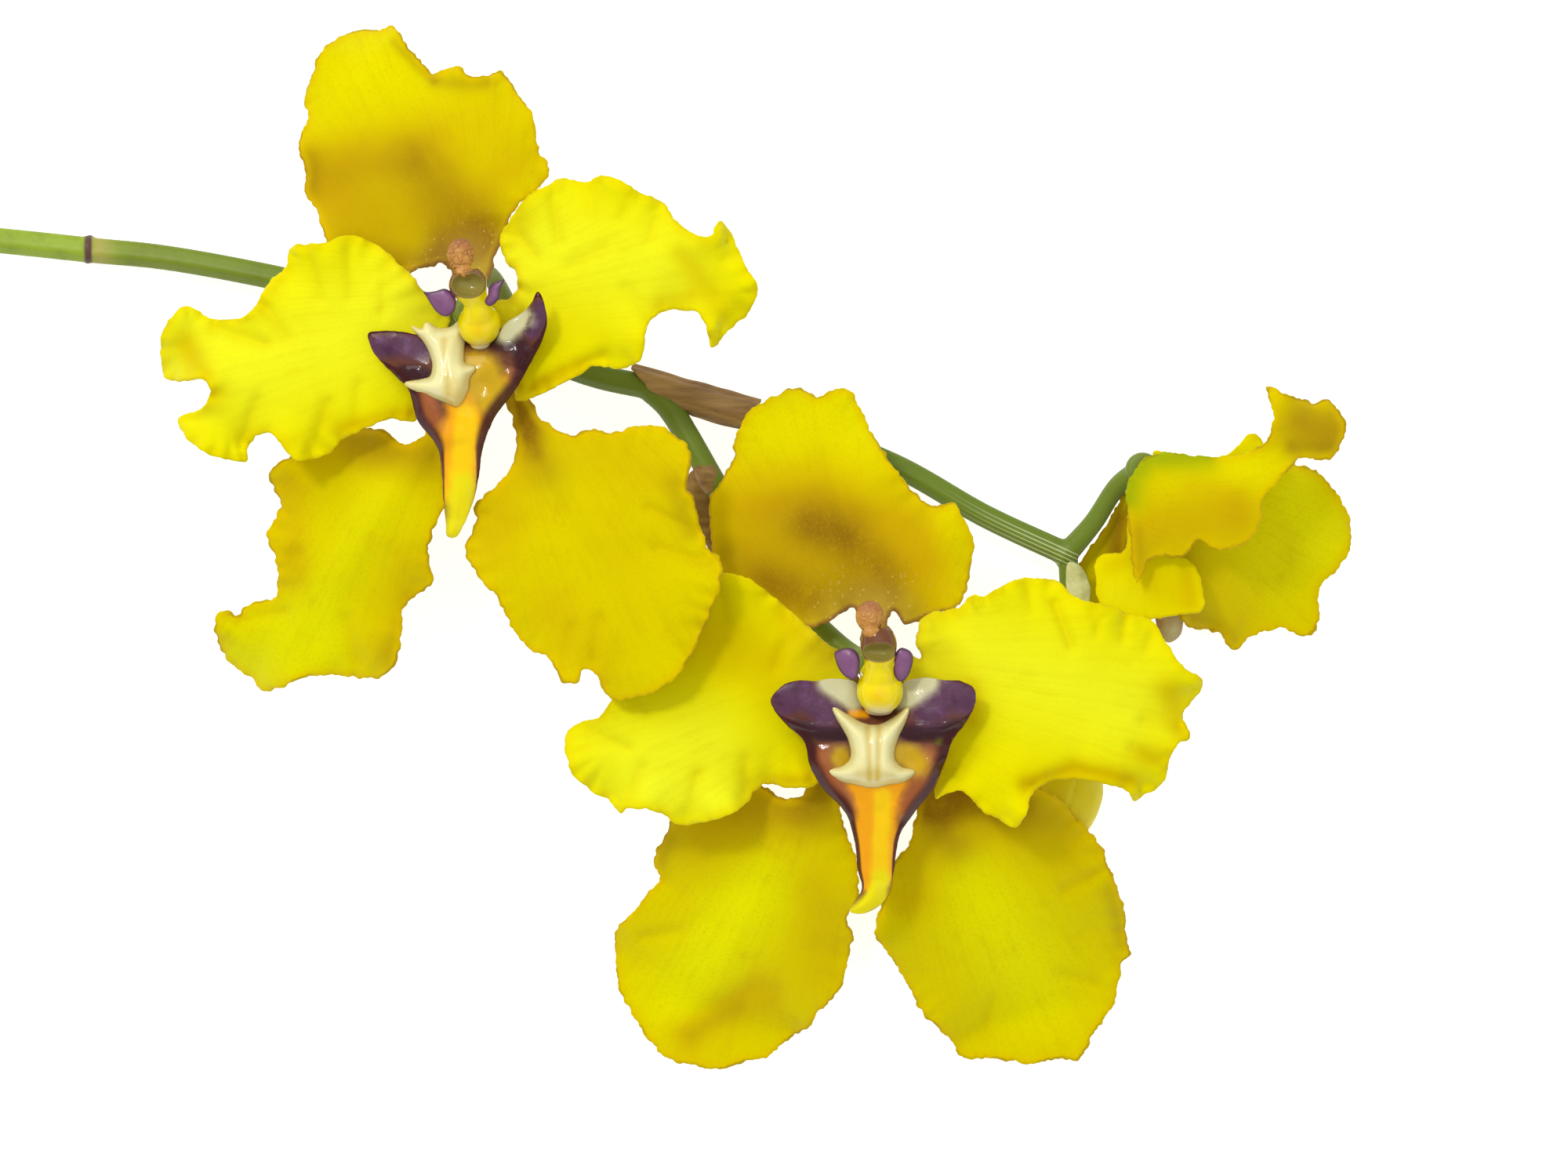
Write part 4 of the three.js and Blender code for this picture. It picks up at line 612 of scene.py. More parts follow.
def is_inside(places, margin):
    """Whether each place lies inside the margin, by counting crossings."""
    x0, y0 = margin[:, 0], margin[:, 1]
    x1, y1 = np.roll(x0, -1), np.roll(y0, -1)

    def rule(some):
        x, y = some[:, :1], some[:, 1:]
        spans = (y0 > y) != (y1 > y)
        slope = (x1 - x0) / np.where(y1 == y0, 1e-9, y1 - y0)
        return (spans & (x < x0 + (y - y0) * slope)).sum(axis=1) % 2 == 1
    return in_blocks(rule, places)


def carried_in(places, margin):
    """The margin's lifts carried to places inside it, by mean value coordinates."""
    def rule(some):
        arm = margin[None, :, :2] - some[:, None]
        ahead = np.roll(arm, -1, axis=1)
        cross = arm[..., 0] * ahead[..., 1] - arm[..., 1] * ahead[..., 0]
        half = np.tan(np.arctan2(cross, (arm * ahead).sum(-1)) / 2)
        weight = (np.roll(half, 1, axis=1) + half) / np.maximum(np.linalg.norm(arm, axis=-1), 1e-6)
        return weight @ margin[:, 2] / weight.sum(axis=1)
    return in_blocks(rule, places)


def wander(places, size, seed):
    """Smooth noise over places in mm, with bumps about as wide as size."""
    offset = Vector((seed * 17.3, seed * -9.1, seed * 5.7))
    return np.array([noise.noise(Vector((*p[:2], 0)) / size + offset) for p in places])


def edges_of(triangles):
    """The three edges of every triangle, in its own turning."""
    return np.vstack([triangles[:, [0, 1]], triangles[:, [1, 2]], triangles[:, [2, 0]]])


def evened(values, triangles, freedom, rounds):
    """Values on a mesh's points averaged with their neighbours', as far as each point is free."""
    a, b = edges_of(triangles).T
    count = len(values)
    many = np.maximum(np.bincount(a, minlength=count) + np.bincount(b, minlength=count), 1)
    for _ in range(rounds):
        mean = (np.bincount(a, values[b], count) + np.bincount(b, values[a], count)) / many
        values = values + (mean - values) * freedom
    return values


def swelling(edge, reach):
    """How full a blade is at a distance from its edge: 0 there, and near 1 beyond the reach."""
    return 1 - np.exp(-edge / reach)


def dish_height(shape, places):
    """The height of a bloom's dish over places in the part's frame."""
    arm = places[:, :2] - on_sheet([shape["centre"]])[:, :2]
    reach = np.hypot(arm[:, 0], arm[:, 1])
    return (shape["centre"][2] + shape.get("seat", 0) + shape["lean"] * arm[:, 0]
            + shape.get("rise", 0) * reach - shape.get("droop", 0) * reach ** 2)


def resting(height, ease=1.6):
    """Heights that come down to the table and level out on it."""
    over = height - REST_HEIGHT
    return REST_HEIGHT + (over + np.sqrt(over ** 2 + ease ** 2)) / 2 - ease ** 2 / (4 * np.maximum(over, 8))


def painted(places, strokes):
    """How strongly soft strokes [line, radius, strength] colour each place, from 0 to 1."""
    total = np.zeros(len(places))
    for line, radius, strength in strokes:
        line = on_sheet(line)
        away = np.linalg.norm(places - line[0], axis=1)
        for a, b in zip(line[:-1], line[1:]):
            t = np.clip(((places - a) @ (b - a)) / ((b - a) @ (b - a)), 0, 1)[:, None]
            away = np.minimum(away, np.linalg.norm(places - a - t * (b - a), axis=1))
        total += strength * np.exp(-(away / radius) ** 2)
    return np.clip(total, 0, 1)


def raised(places, strokes):
    """How high relief strokes [line, radius, height] stand over each place."""
    return sum((rise * painted(places, [(line, radius, 1)]) for line, radius, rise in strokes),
               start=np.zeros(len(places)))


def blade_sheet(outline, teeth, seed, lattice=LATTICE, margin_step=MARGIN_STEP):
    """A flat net of triangles over an outline, with each point's edge distance, share and lift."""
    margin, share = margin_line(outline, margin_step)
    ahead = np.roll(margin[:, :2], -1, axis=0) - np.roll(margin[:, :2], 1, axis=0)
    outward = np.column_stack([ahead[:, 1], -ahead[:, 0]]) / np.linalg.norm(ahead, axis=1)[:, None]
    bite = teeth * (0.9 * wander(margin, 1.3, seed) + 0.7 * wander(margin, 0.55, seed + 1))
    rim = margin[:, :2] + outward * bite[:, None] * turning(margin)
    low, high = rim.min(axis=0), rim.max(axis=0)
    rows = np.arange(low[1], high[1], lattice * math.sqrt(0.75))
    columns = np.arange(low[0], high[0], lattice)
    grid = np.array([(x + (i % 2) * lattice / 2, y) for i, y in enumerate(rows) for x in columns])
    grid += np.column_stack([wander(grid, 0.3, seed + 2), wander(grid, 0.3, seed + 3)]) * lattice * JITTER
    grid = grid[is_inside(grid, rim)]
    grid = grid[nearest_margin(grid, rim)[0] > lattice * RIM_GAP]
    edge, near = nearest_margin(grid, margin)
    coarse = margin[::max(int(round(1 / margin_step)), 1)]
    places = np.vstack([rim, grid])
    edge = np.concatenate([np.zeros(len(rim)), edge])
    share = np.concatenate([share, share[near]])
    lift = np.concatenate([margin[:, 2], carried_in(grid, coarse)])
    _, _, triangles, origins, _, _ = geometry.delaunay_2d_cdt(
        [Vector(p) for p in places], [], [list(range(len(rim)))], 1, 1e-7)
    order = np.array([o[0] for o in origins])
    used = np.unique(np.array(triangles))
    renumber = np.full(len(order), -1)
    renumber[used] = np.arange(len(used))
    kept = order[used]
    return places[kept], renumber[np.array(triangles)], edge[kept], share[kept], lift[kept]


def point_normals(points, triangles):
    """Unit normals of a net of triangles at its points."""
    a, b, c = (points[triangles[:, k]] for k in range(3))
    face = np.cross(b - a, c - a)
    normals = np.zeros_like(points)
    for k in range(3):
        np.add.at(normals, triangles[:, k], face)
    return normals / np.maximum(np.linalg.norm(normals, axis=1), 1e-12)[:, None]


def closed_blade(name, places, height, triangles, half, marks, upright=False):
    """A closed blade round a middle surface, half as thick on each side, with marks on its points."""
    points = np.column_stack([places, height])
    count = len(points)
    normals = np.tile([0.0, 0.0, 1.0], (count, 1)) if upright else point_normals(points, triangles)
    edges = edges_of(triangles).tolist()
    met = {(a, b) for a, b in edges}
    rim = [(a, b) for a, b in edges if (b, a) not in met]
    # The seam is a rounded edge between the two skins, a little outside the rim.
    seam = {}
    away = np.zeros((count, 2))
    for a, b in rim:
        seam.setdefault(a, 2 * count + len(seam))
        run = places[b] - places[a]
        out = np.array([run[1], -run[0]]) / max(np.linalg.norm(run), 1e-9)
        away[a] += out
        away[b] += out
    around = list(seam)
    away = away[around] / np.maximum(np.linalg.norm(away[around], axis=1), 1e-9)[:, None]
    between = points[around] + np.column_stack([away * 0.7 * half[around][:, None], np.zeros(len(seam))])
    faces = triangles.tolist() + (triangles[:, ::-1] + count).tolist()
    for a, b in rim:
        faces += [(b, a, seam[a], seam[b]), (seam[b], seam[a], a + count, b + count)]
    rise = normals * half[:, None]
    piece = new_piece(name, np.vstack([points + rise, points - rise, between]), faces)
    marks = {**marks, "back": np.zeros(count)}
    mark_corners(piece, {mark: np.concatenate([values, values + (mark == "back"), values[around]])
                         for mark, values in marks.items()})
    return piece


def keel_groove(places, line, depth, width):
    """The groove of a blade's keel, fading out at both its ends."""
    track = spaced_line(on_sheet(line), 0.5)
    away = in_blocks(lambda some: np.linalg.norm(some[:, None] - track[None], axis=-1), places)
    near = away.argmin(axis=1)
    along = near / len(track)
    return (depth * np.exp(-(away[np.arange(len(places)), near] / width) ** 2)
            * np.sin(np.pi * np.clip(along, 0.06, 0.94)))


def make_blade(name, shape, seed):
    """A sepal or petal: the solid's form with fine waves, wrinkles, a keel and toothed margins."""
    places, triangles, edge, share, lift = blade_sheet(shape["outline"], shape["teeth"], seed)
    turns = 2 * np.pi * share
    full = shape["belly"] * swelling(edge, BELLY_REACH)
    wave = shape["crisp"] * np.sin(turns * shape["waves"]) * np.exp(-edge / BELLY_REACH)
    wave = evened(wave, triangles, freedom=np.clip(edge / 4 - 0.3, 0, 1), rounds=60)
    length = len(margin_line(shape["outline"], 1)[0])
    folds = np.sin(turns * round(length / CRIMP_SPACING) + 4 * wander(places, 5, seed + 4))
    crimps = shape["crimp"] * (0.35 + wander(places, 7, seed + 5)) * folds * np.exp(-edge / CRIMP_REACH)
    swell = 0.35 * wander(places, 9, seed + 6) + 0.1 * wander(places, 3, seed + 7)
    crimps, swell = shape["ruffle"] * crimps, shape["ruffle"] * swell
    groove = keel_groove(places, **shape["keel"]) if "keel" in shape else 0
    relief = raised(places, shape.get("relief", []))
    height = resting(dish_height(shape, places) + lift + full + wave + crimps + swell + groove + relief)

    claw = on_sheet([p[:2] for p in shape["outline"][:2]]).mean(axis=0)
    reach = np.linalg.norm(places - claw, axis=1)
    tip = on_sheet([shape["tip"]])[0] if "tip" in shape else places[reach.argmax()]
    ahead = (tip - claw) / np.linalg.norm(tip - claw)
    arm = places - (claw - ahead * shape["veins_from"])
    marks = {"edge": edge, "fan": np.arctan2(arm @ np.array([-ahead[1], ahead[0]]), arm @ ahead),
             "reach": reach + shape["far"]}
    for colour in BLADE_STROKES:
        marks[colour] = painted(places, shape.get(colour, []))
    # Painted shade: the hollows of the relief, crimps and swell take on part of the shade tint.
    hollow = np.clip(-(relief + crimps + 0.5 * swell), 0, 1)
    marks["shade"] = np.clip(marks["shade"] + 0.4 * hollow, 0, 1)
    half = EDGE_HALF + (BODY_HALF - EDGE_HALF) * swelling(edge, BODY_REACH)
    return closed_blade(name, places, height, triangles, half, marks)


def blade_skin(name, colours, vein_depth, seed):
    """A petal's living skin: its colours, darker veins that fan from the claw, and a thin rim."""
    material, tree, shader = new_material(name, {"Roughness": colours["roughness"],
                                                 "Specular IOR Level": 0.12,
                                                 "Specular Tint": linear(colours["lemon"])})
    mark = {key: add_node(tree, "ShaderNodeAttribute", {"attribute_name": key}, "Fac")
            for key in ("edge", "fan", "reach", "back", *BLADE_STROKES)}
    place = add_node(tree, "ShaderNodeTexCoord", out="Object")
    cloud, fleck, grain = (
        add_node(tree, "ShaderNodeTexNoise", {"noise_dimensions": "4D", "Vector": place, "Scale": scale,
                                              "Detail": detail, "Roughness": rough, "W": seed + shift})
        for scale, detail, rough, shift in ((160, 5, 0.62, 0), (900, 3, 0.5, 5), (2600, 4, 0.6, 9)))

    # Colour spreads unevenly: each stroke fades out softly and is broken up by the cloud.
    coats = []
    uneven = add_node(tree, "ShaderNodeMath", {"operation": "MULTIPLY_ADD", 0: cloud, 1: 1.1, 2: -0.55})
    for key in BLADE_STROKES:
        middling = add_node(tree, "ShaderNodeMath", {"operation": "PINGPONG", 0: mark[key], 1: 0.5})
        spread = add_node(tree, "ShaderNodeMath", {"operation": "MULTIPLY_ADD", "use_clamp": True,
                                                   0: uneven, 1: middling, 2: mark[key]})
        coats.append((colours[key], spread))
    coats += [(colours["mottle"], overlap(tree, (cloud, 0.5, 0.85), top=colours["mottling"])),
              (colours["shade"], overlap(tree, (grain, 0.48, 0.72), top=colours["grain"]))]
    # Veins fan out from the claw, main ones about 2 mm apart and fine ones between them. They
    # sink into the flesh in places, so they show unevenly.
    bent = add_node(tree, "ShaderNodeMath", {"operation": "MULTIPLY_ADD", 0: cloud, 1: 0.05, 2: mark["fan"]})
    finer = add_node(tree, "ShaderNodeMath", {"operation": "MULTIPLY_ADD", 0: fleck, 1: 0.012, 2: bent})
    main, fine = (
        overlap(tree, (add_node(tree, "ShaderNodeMath", {"operation": "PINGPONG", 0: angle, 1: spacing}),
                       width, 0), top=top)
        for angle, spacing, width, top in ((bent, 0.034, 0.012, 1.0), (finer, 0.011, 0.006, 0.6)))
    veins = add_node(tree, "ShaderNodeMath", {"operation": "MAXIMUM", 0: main, 1: fine})
    veins = overlap(tree, veins, (mark["reach"], 1, 9), (cloud, 0.3, 0.75))
    # The claw is a dull tan with purple-brown edges. Further out the margin turns golden, and its
    # very edge dries to a thin brown line in places.
    yellow = add_node(tree, "ShaderNodeMath", {"operation": "SUBTRACT", 0: 1.0, 1: mark["green"]})
    coats += [
        (colours["vein"], overlap(tree, veins, top=vein_depth)),
        (colours["margin"], overlap(tree, (mark["edge"], 1.3, 0.1), yellow, top=0.5)),
        ("#a5843e", overlap(tree, (mark["reach"], 10, 3), top=colours["flush"])),
        ("#7a4b3a", overlap(tree, (mark["edge"], 0.8, 0.1), (mark["reach"], 15, 5), top=colours["flush"])),
        (colours["rim"], overlap(tree, (mark["edge"], 0.34, 0.05), (cloud, 0.42, 0.6),
                                 top=colours["dryness"])),
        (colours["under"], overlap(tree, mark["back"], top=0.85))]
    # Pale flecks lie round the claw, and a few pin-point dark specks further out.
    near_claw = overlap(tree, (mark["reach"], 13, 6), top=colours["flush"])
    for tint, scale, size, rarity, share in (
            ("#cfac62", 1900, (0.36, 0.16), (0.66, 0.76), near_claw),
            ("#5a4508", 170, (0.055, 0.02), (0.9, 0.93), colours["specks"])):
        cells = add_node(tree, "ShaderNodeTexVoronoi", {"Vector": place, "Scale": scale}).node.outputs
        rare = add_node(tree, "ShaderNodeSeparateColor", {0: cells["Color"]})
        coats.append((tint, overlap(tree, (cells["Distance"], *size), (rare, *rarity), share)))
    sunk = add_node(tree, "ShaderNodeMath", {"operation": "MULTIPLY", 0: veins, 1: -0.4})
    relief = add_node(tree, "ShaderNodeMath", {"operation": "MULTIPLY_ADD", 0: fleck, 1: 0.5, 2: sunk})
    surface(tree, shader, coated(tree, linear(colours["body"]), coats), relief, 0.2)
    return material


def place_blades(blades, base, material):
    """Makes every blade of a kind, and puts it in the place of its plain solid."""
    for i, (name, own) in enumerate(blades.items()):
        shape = {**base, **BLOOMS[name[:7]], **own}
        dress(make_blade(name + "_skin", shape, seed=i * 3 + 1), material)


# Living sepal skin: fleshy and matt, mustard yellow, brown-olive towards the claw.
# Its shade tint is laid on as painted shade; its lemon tint is partly painted light.
sepal_skin = blade_skin("yellow sepal skin", dict(
    body="#d0c100", lemon="#dfdc00", shade="#c29f06", brown="#8c6810", green="#9aa60a", mottle="#c2a404",
    vein="#a98c08", margin="#d6b200", rim="#7d551c", under="#b5a60c", dryness=0.45, specks=0.8,
    mottling=0.45, grain=0.3, flush=0.65, roughness=0.6), vein_depth=0.16, seed=1.0)
place_blades(SEPALS, SEPAL_SHAPE, sepal_skin)

# ---- Petals ---------------------------------------------------------------------------------
# The two broad inner leaves of each bloom, thinner and brighter than the sepals, with crimped
# margins and fine veins that fan out from the claw. They grew just above the sepals.

PETAL_SHAPE = dict(seat=0.8, rise=0.26, droop=0.006, belly=0.8, waves=9, crisp=1.3, ruffle=1,
                   teeth=0.22, crimp=0.6, veins_from=14, far=0)
PETALS = {
    "bloom_1_left_petal": dict(tip=(22, 47),
        outline=[(57.4, 38.8), (57.4, 40.8), (56.4, 44.5), (55, 49, -0.5), (53, 53.5, -1), (50, 53.4, -2),
            (47.5, 54.3, -2), (44.5, 55.6, -1.5), (41.5, 58, -1), (38.5, 58.7), (36.8, 57.6),
            (35.2, 55.6), (33.6, 55.2), (31.8, 56.5), (31.3, 58.8), (30, 58.7), (26, 57.5), (23, 54.7),
            (22.8, 53.4), (25.8, 52.2, 1), (27.1, 49.9, 2), (26.2, 48.4, 2), (24, 48.6, 1),
            (21.2, 48.2, -1), (20.4, 45, -1), (20.6, 43, -0.5), (22, 40.5, 0.5), (23.8, 39.1, 1),
            (27.2, 40.8, 0.5), (31.9, 40.2), (34.6, 36), (36.8, 33.8), (37.1, 31.8), (41.9, 31.2),
            (44, 30.3), (46.2, 30.5), (49, 32), (52, 34.7), (54.5, 37.5), (55.9, 38.6)],
        lemon=[([(50, 40), (32, 47)], 8, 0.7), ([(24, 41), (25, 47)], 3, 0.5)],
        # Painted shade: its turned-under lower margin, its curled tip and small creases; the brown line
        # deepens the fold's shade.
        shade=[([(44, 54.8), (53, 52.6)], 1.3, 0.9), ([(24, 44), (27, 50)], 2.2, 0.5),
            ([(33, 40), (37, 34)], 1.0, 0.3), ([(33, 56.5), (37, 57)], 1.4, 0.4)],
        brown=[([(46, 54.6), (51, 53.4)], 0.8, 0.3)],
        relief=[([(27.5, 42), (34, 44)], 1.0, -0.7), ([(33, 38.5), (36.5, 43)], 1.0, -0.6),
            ([(24, 44), (27, 50)], 1.5, -0.7), ([(40, 33), (41, 38)], 0.9, -0.5),
            ([(44.5, 32), (45, 38)], 0.9, -0.4), ([(49.5, 34.5), (49, 40)], 0.9, -0.4),
            ([(40, 57), (42, 51.5)], 1.0, -0.5), ([(45.5, 54), (46, 49)], 0.9, -0.4),
            ([(31, 56), (33, 51)], 0.9, -0.5)]),
    "bloom_1_right_petal": dict(tip=(94, 36),
        outline=[(62.5, 40.7), (62.7, 39), (64.8, 38.4), (66, 37.6), (66.1, 35), (64.5, 33), (64, 30.5),
            (65.5, 28), (66.8, 26.2), (68, 25), (70.3, 23.9), (71.7, 23.1), (75.2, 23.5), (77, 22.7),
            (79.7, 23.8), (81.5, 24.7), (84.5, 26.2), (86.2, 28.6, 1), (88, 29.9, 1), (90.1, 30.7, 1),
            (91.2, 30, 1.5), (91.9, 28.6, 1.5), (93.5, 30.5, 0.5), (95, 34), (96.6, 37.2, -0.5),
            (95.5, 39.8, -1), (93, 42.3, -1.5), (90.8, 44.5, -2), (90.5, 43, -1), (89.3, 40.3),
            (88.2, 39.8), (84.5, 39.9), (82.5, 42), (81.8, 46), (79, 47.1), (76, 46.8), (74, 47.9),
            (71, 49.5, 0.4), (67.5, 51, 0.6), (66.2, 51.2, 0.6), (65.8, 49.5, 0.3), (64.5, 45)],
        lemon=[([(70, 32), (84, 35)], 7, 0.7)],
        # Painted shade: its folded lower flap, the crease near its tip and small creases; the brown line
        # deepens the flap's shade.
        shade=[([(67, 50), (74, 47.6)], 1.6, 0.8), ([(87, 33), (92, 40)], 1.6, 0.35),
            ([(84, 39), (88, 38)], 1.2, 0.4), ([(65.5, 31), (67, 28)], 1.6, 0.3),
            ([(66, 41), (66.5, 45)], 1.2, 0.4)],
        brown=[([(68, 50.2), (72, 48.6)], 0.7, 0.3)],
        relief=[([(70.5, 25.5), (71.5, 31)], 0.9, -0.6), ([(75.5, 25), (75.8, 28)], 0.9, -0.4),
            ([(80, 25.5), (79.5, 28)], 0.9, -0.4), ([(84, 27.5), (83, 31)], 0.9, -0.4),
            ([(73, 34), (77, 32)], 1.0, -0.4), ([(66, 29), (68.5, 33)], 0.9, -0.5),
            ([(68.5, 49.4), (72, 47.6), (77, 45.6)], 1.0, -0.9), ([(67, 50)], 0.9, 0.7),
            ([(87, 33), (91, 38)], 1.3, -0.4), ([(83.5, 41), (80, 37)], 1.0, -0.4)]),
    "bloom_2_left_petal": dict(tip=(74, 97),
        outline=[(108.6, 83.5), (108.6, 85.5), (107.4, 88.5), (106, 92, -0.5), (104.8, 96.5, -1.5),
            (104.2, 100, -2.5), (100.5, 100.4, -2.5), (97.5, 100, -2.5), (96.2, 101, -2), (94.5, 103, -1),
            (90.5, 104.6), (87.5, 105.3), (85.8, 104.7), (84.3, 103.6), (80, 103.1), (79.2, 103.8),
            (77.5, 101.8), (75.5, 101), (73, 98.5), (72.1, 95.1), (72.2, 93.5), (74, 92.2), (76.5, 91.5),
            (78, 89.3, -0.5), (80, 85.5, -1), (83.5, 80.5, -1), (88, 75.5, -0.5), (92.5, 73.2),
            (96, 74.2), (98, 75.7), (102, 79), (105, 81.7), (106.8, 82.9)],
        lemon=[([(90, 95), (80, 97)], 6, 0.7), ([(84, 101), (92, 102)], 3, 0.6)],
        # Painted shade: the shadow of bloom 1's right sepal over its upper part, its turned-under lower
        # margin and the part by its claw; the brown line deepens the fold's shade.
        shade=[([(88, 80), (98, 84)], 6, 0.5), ([(98, 100), (104, 99.4)], 1.3, 0.9),
            ([(100, 78), (106, 83)], 2, 0.5)],
        brown=[([(99, 100.2), (103, 99.9)], 0.7, 0.4)],
        relief=[([(86, 80), (98, 85)], 3.5, -0.5), ([(101, 79.5), (99, 85)], 1.0, -0.4),
            ([(79, 88), (82.5, 91)], 1.0, -0.5), ([(75.5, 93.5), (80, 95.5)], 1.0, -0.5),
            ([(80, 102), (82, 98)], 1.0, -0.5), ([(88, 103.5), (89, 99)], 1.0, -0.5),
            ([(95, 101.5), (95, 97)], 1.0, -0.5), ([(92, 75), (92.5, 79)], 0.9, -0.4)]),
    "bloom_2_right_petal": dict(tip=(151, 90),
        outline=[(113.8, 85.5), (113.8, 83.5), (115.4, 83.4), (117.4, 84), (117, 82), (117.3, 80),
            (118.2, 78.5), (122.5, 77.5), (123.6, 76.2), (125.5, 76), (129, 74.2), (131, 73.8),
            (135, 74.3), (137.2, 76.3), (141, 77.2), (144, 78.3), (147, 79.2), (148.5, 81.5), (151, 85.2),
            (153.5, 87, 0.5), (153, 88.5), (151, 91, -0.5), (151.8, 94), (150.5, 94.7), (149, 97.5),
            (148.7, 99.5), (146, 101.5, -0.5), (144.9, 102.2, -1), (144, 101), (142.5, 100.3, 0.5),
            (137, 99.3, 1.5), (133.5, 99.8, 1), (131.6, 101.5), (130.6, 104, -0.5), (129.6, 105.5, -1),
            (127.5, 104.6, -1), (125.5, 103.5), (123, 101), (121.5, 100.8, -1), (119.4, 101.9, -2),
            (119.8, 99.5, -2), (120.6, 96.5, -1.5), (119.5, 92.5, -1), (116.5, 88, -0.5)],
        lemon=[([(125, 84), (143, 90)], 7, 0.7)],
        # Painted shade: the turned-under band along its lower margin, its curled tips, and the shadow of the
        # lip's right lobe; the brown line deepens the band's shade.
        shade=[([(131, 99.9), (137, 98.4), (144, 99.8)], 1.5, 0.95), ([(149, 88), (151, 93)], 1.8, 0.6),
            ([(146, 96), (149, 97)], 1.6, 0.5), ([(119, 79), (122, 78)], 1.5, 0.3),
            ([(124, 88), (124, 92)], 1.2, 0.5)],
        brown=[([(132, 100.3), (137, 99.1), (142, 100)], 0.8, 0.6)],
        relief=[([(134.5, 77), (136.6, 82.5)], 0.8, -0.8), ([(139.5, 78), (140, 80.5)], 0.8, -0.5),
            ([(143.5, 79), (143.2, 81.5)], 0.8, -0.5), ([(147, 81), (146.2, 83)], 0.8, -0.4),
            ([(131, 75), (131.4, 78)], 0.8, -0.3), ([(131, 100.6), (137, 98.2), (144, 99.8)], 1.3, -0.8),
            ([(121, 84), (124, 91)], 2.4, -0.6), ([(150, 93), (146, 92)], 1.0, -0.5),
            ([(147.5, 97.5), (144.5, 95.5)], 1.0, -0.5), ([(122, 99.5), (124, 96)], 1.0, -0.4)]),
    "bloom_3_left_petal": dict(belly=0.2, ruffle=0.3, tip=(162, 59),
        outline=[(148.5, 59.2, 13.6), (147.5, 57.6, 13.6), (150, 57.9, 14), (154, 58.2, 14.3),
            (157, 57.9, 14), (158.5, 56.5, 14), (160, 55.2, 14), (161.7, 56.6, 13.8), (163.5, 59, 13),
            (161.5, 62, 12.8), (156, 62.6, 12.8), (151, 60.4, 13.4)]),
    "bloom_3_right_petal": dict(belly=0.4, ruffle=0.15, tip=(145, 78),
        outline=[(146.4, 62.7, 13.8), (144.9, 62.4, 13.8), (144.3, 66, 13.2), (143.6, 70.3, 12.4),
            (141.6, 70.6, 12), (140.3, 71.6, 11.7), (140.2, 75, 11.3), (141.2, 77.6, 11),
            (144.5, 78.6, 10.9), (148, 78.9, 10.9), (151, 78.3, 10.9), (153.7, 78, 11),
            (153.7, 74.5, 11.4), (152, 71.5, 11.9), (148.5, 70.3, 12.5), (147.2, 66, 13.3)],
        lemon=[([(142, 76), (145, 76)], 2, 0.2)],
        shade=[([(152, 73), (152.5, 77)], 1.5, 0.6), ([(147, 74), (150, 75.5)], 3, 0.5),
            ([(142, 72), (144, 71)], 1.5, 0.5)]),
}

# Living petal skin: satin, clear lemon yellow with golden veins, and a deeper gold painted as shade where it
# turns under.
petal_skin = blade_skin("lemon petal skin", dict(
    body="#ddd500", lemon="#e3e724", shade="#cbb000", brown="#a68a04", green="#b9c223", mottle="#d6c600",
    vein="#cab400", margin="#e0cc00", rim="#a5801c", under="#d8c800", dryness=0.2, specks=0.0,
    mottling=0.4, grain=0.12, flush=0.1, roughness=0.55), vein_depth=0.22, seed=4.0)
place_blades(PETALS, PETAL_SHAPE, petal_skin)

# ---- Lips -----------------------------------------------------------------------------------
# The lip is each bloom's third petal, thick, glossy and coloured: two purple side lobes on cream
# claws, a maroon-rimmed body with a red-brown ring, and an orange tongue that ends in yellow.

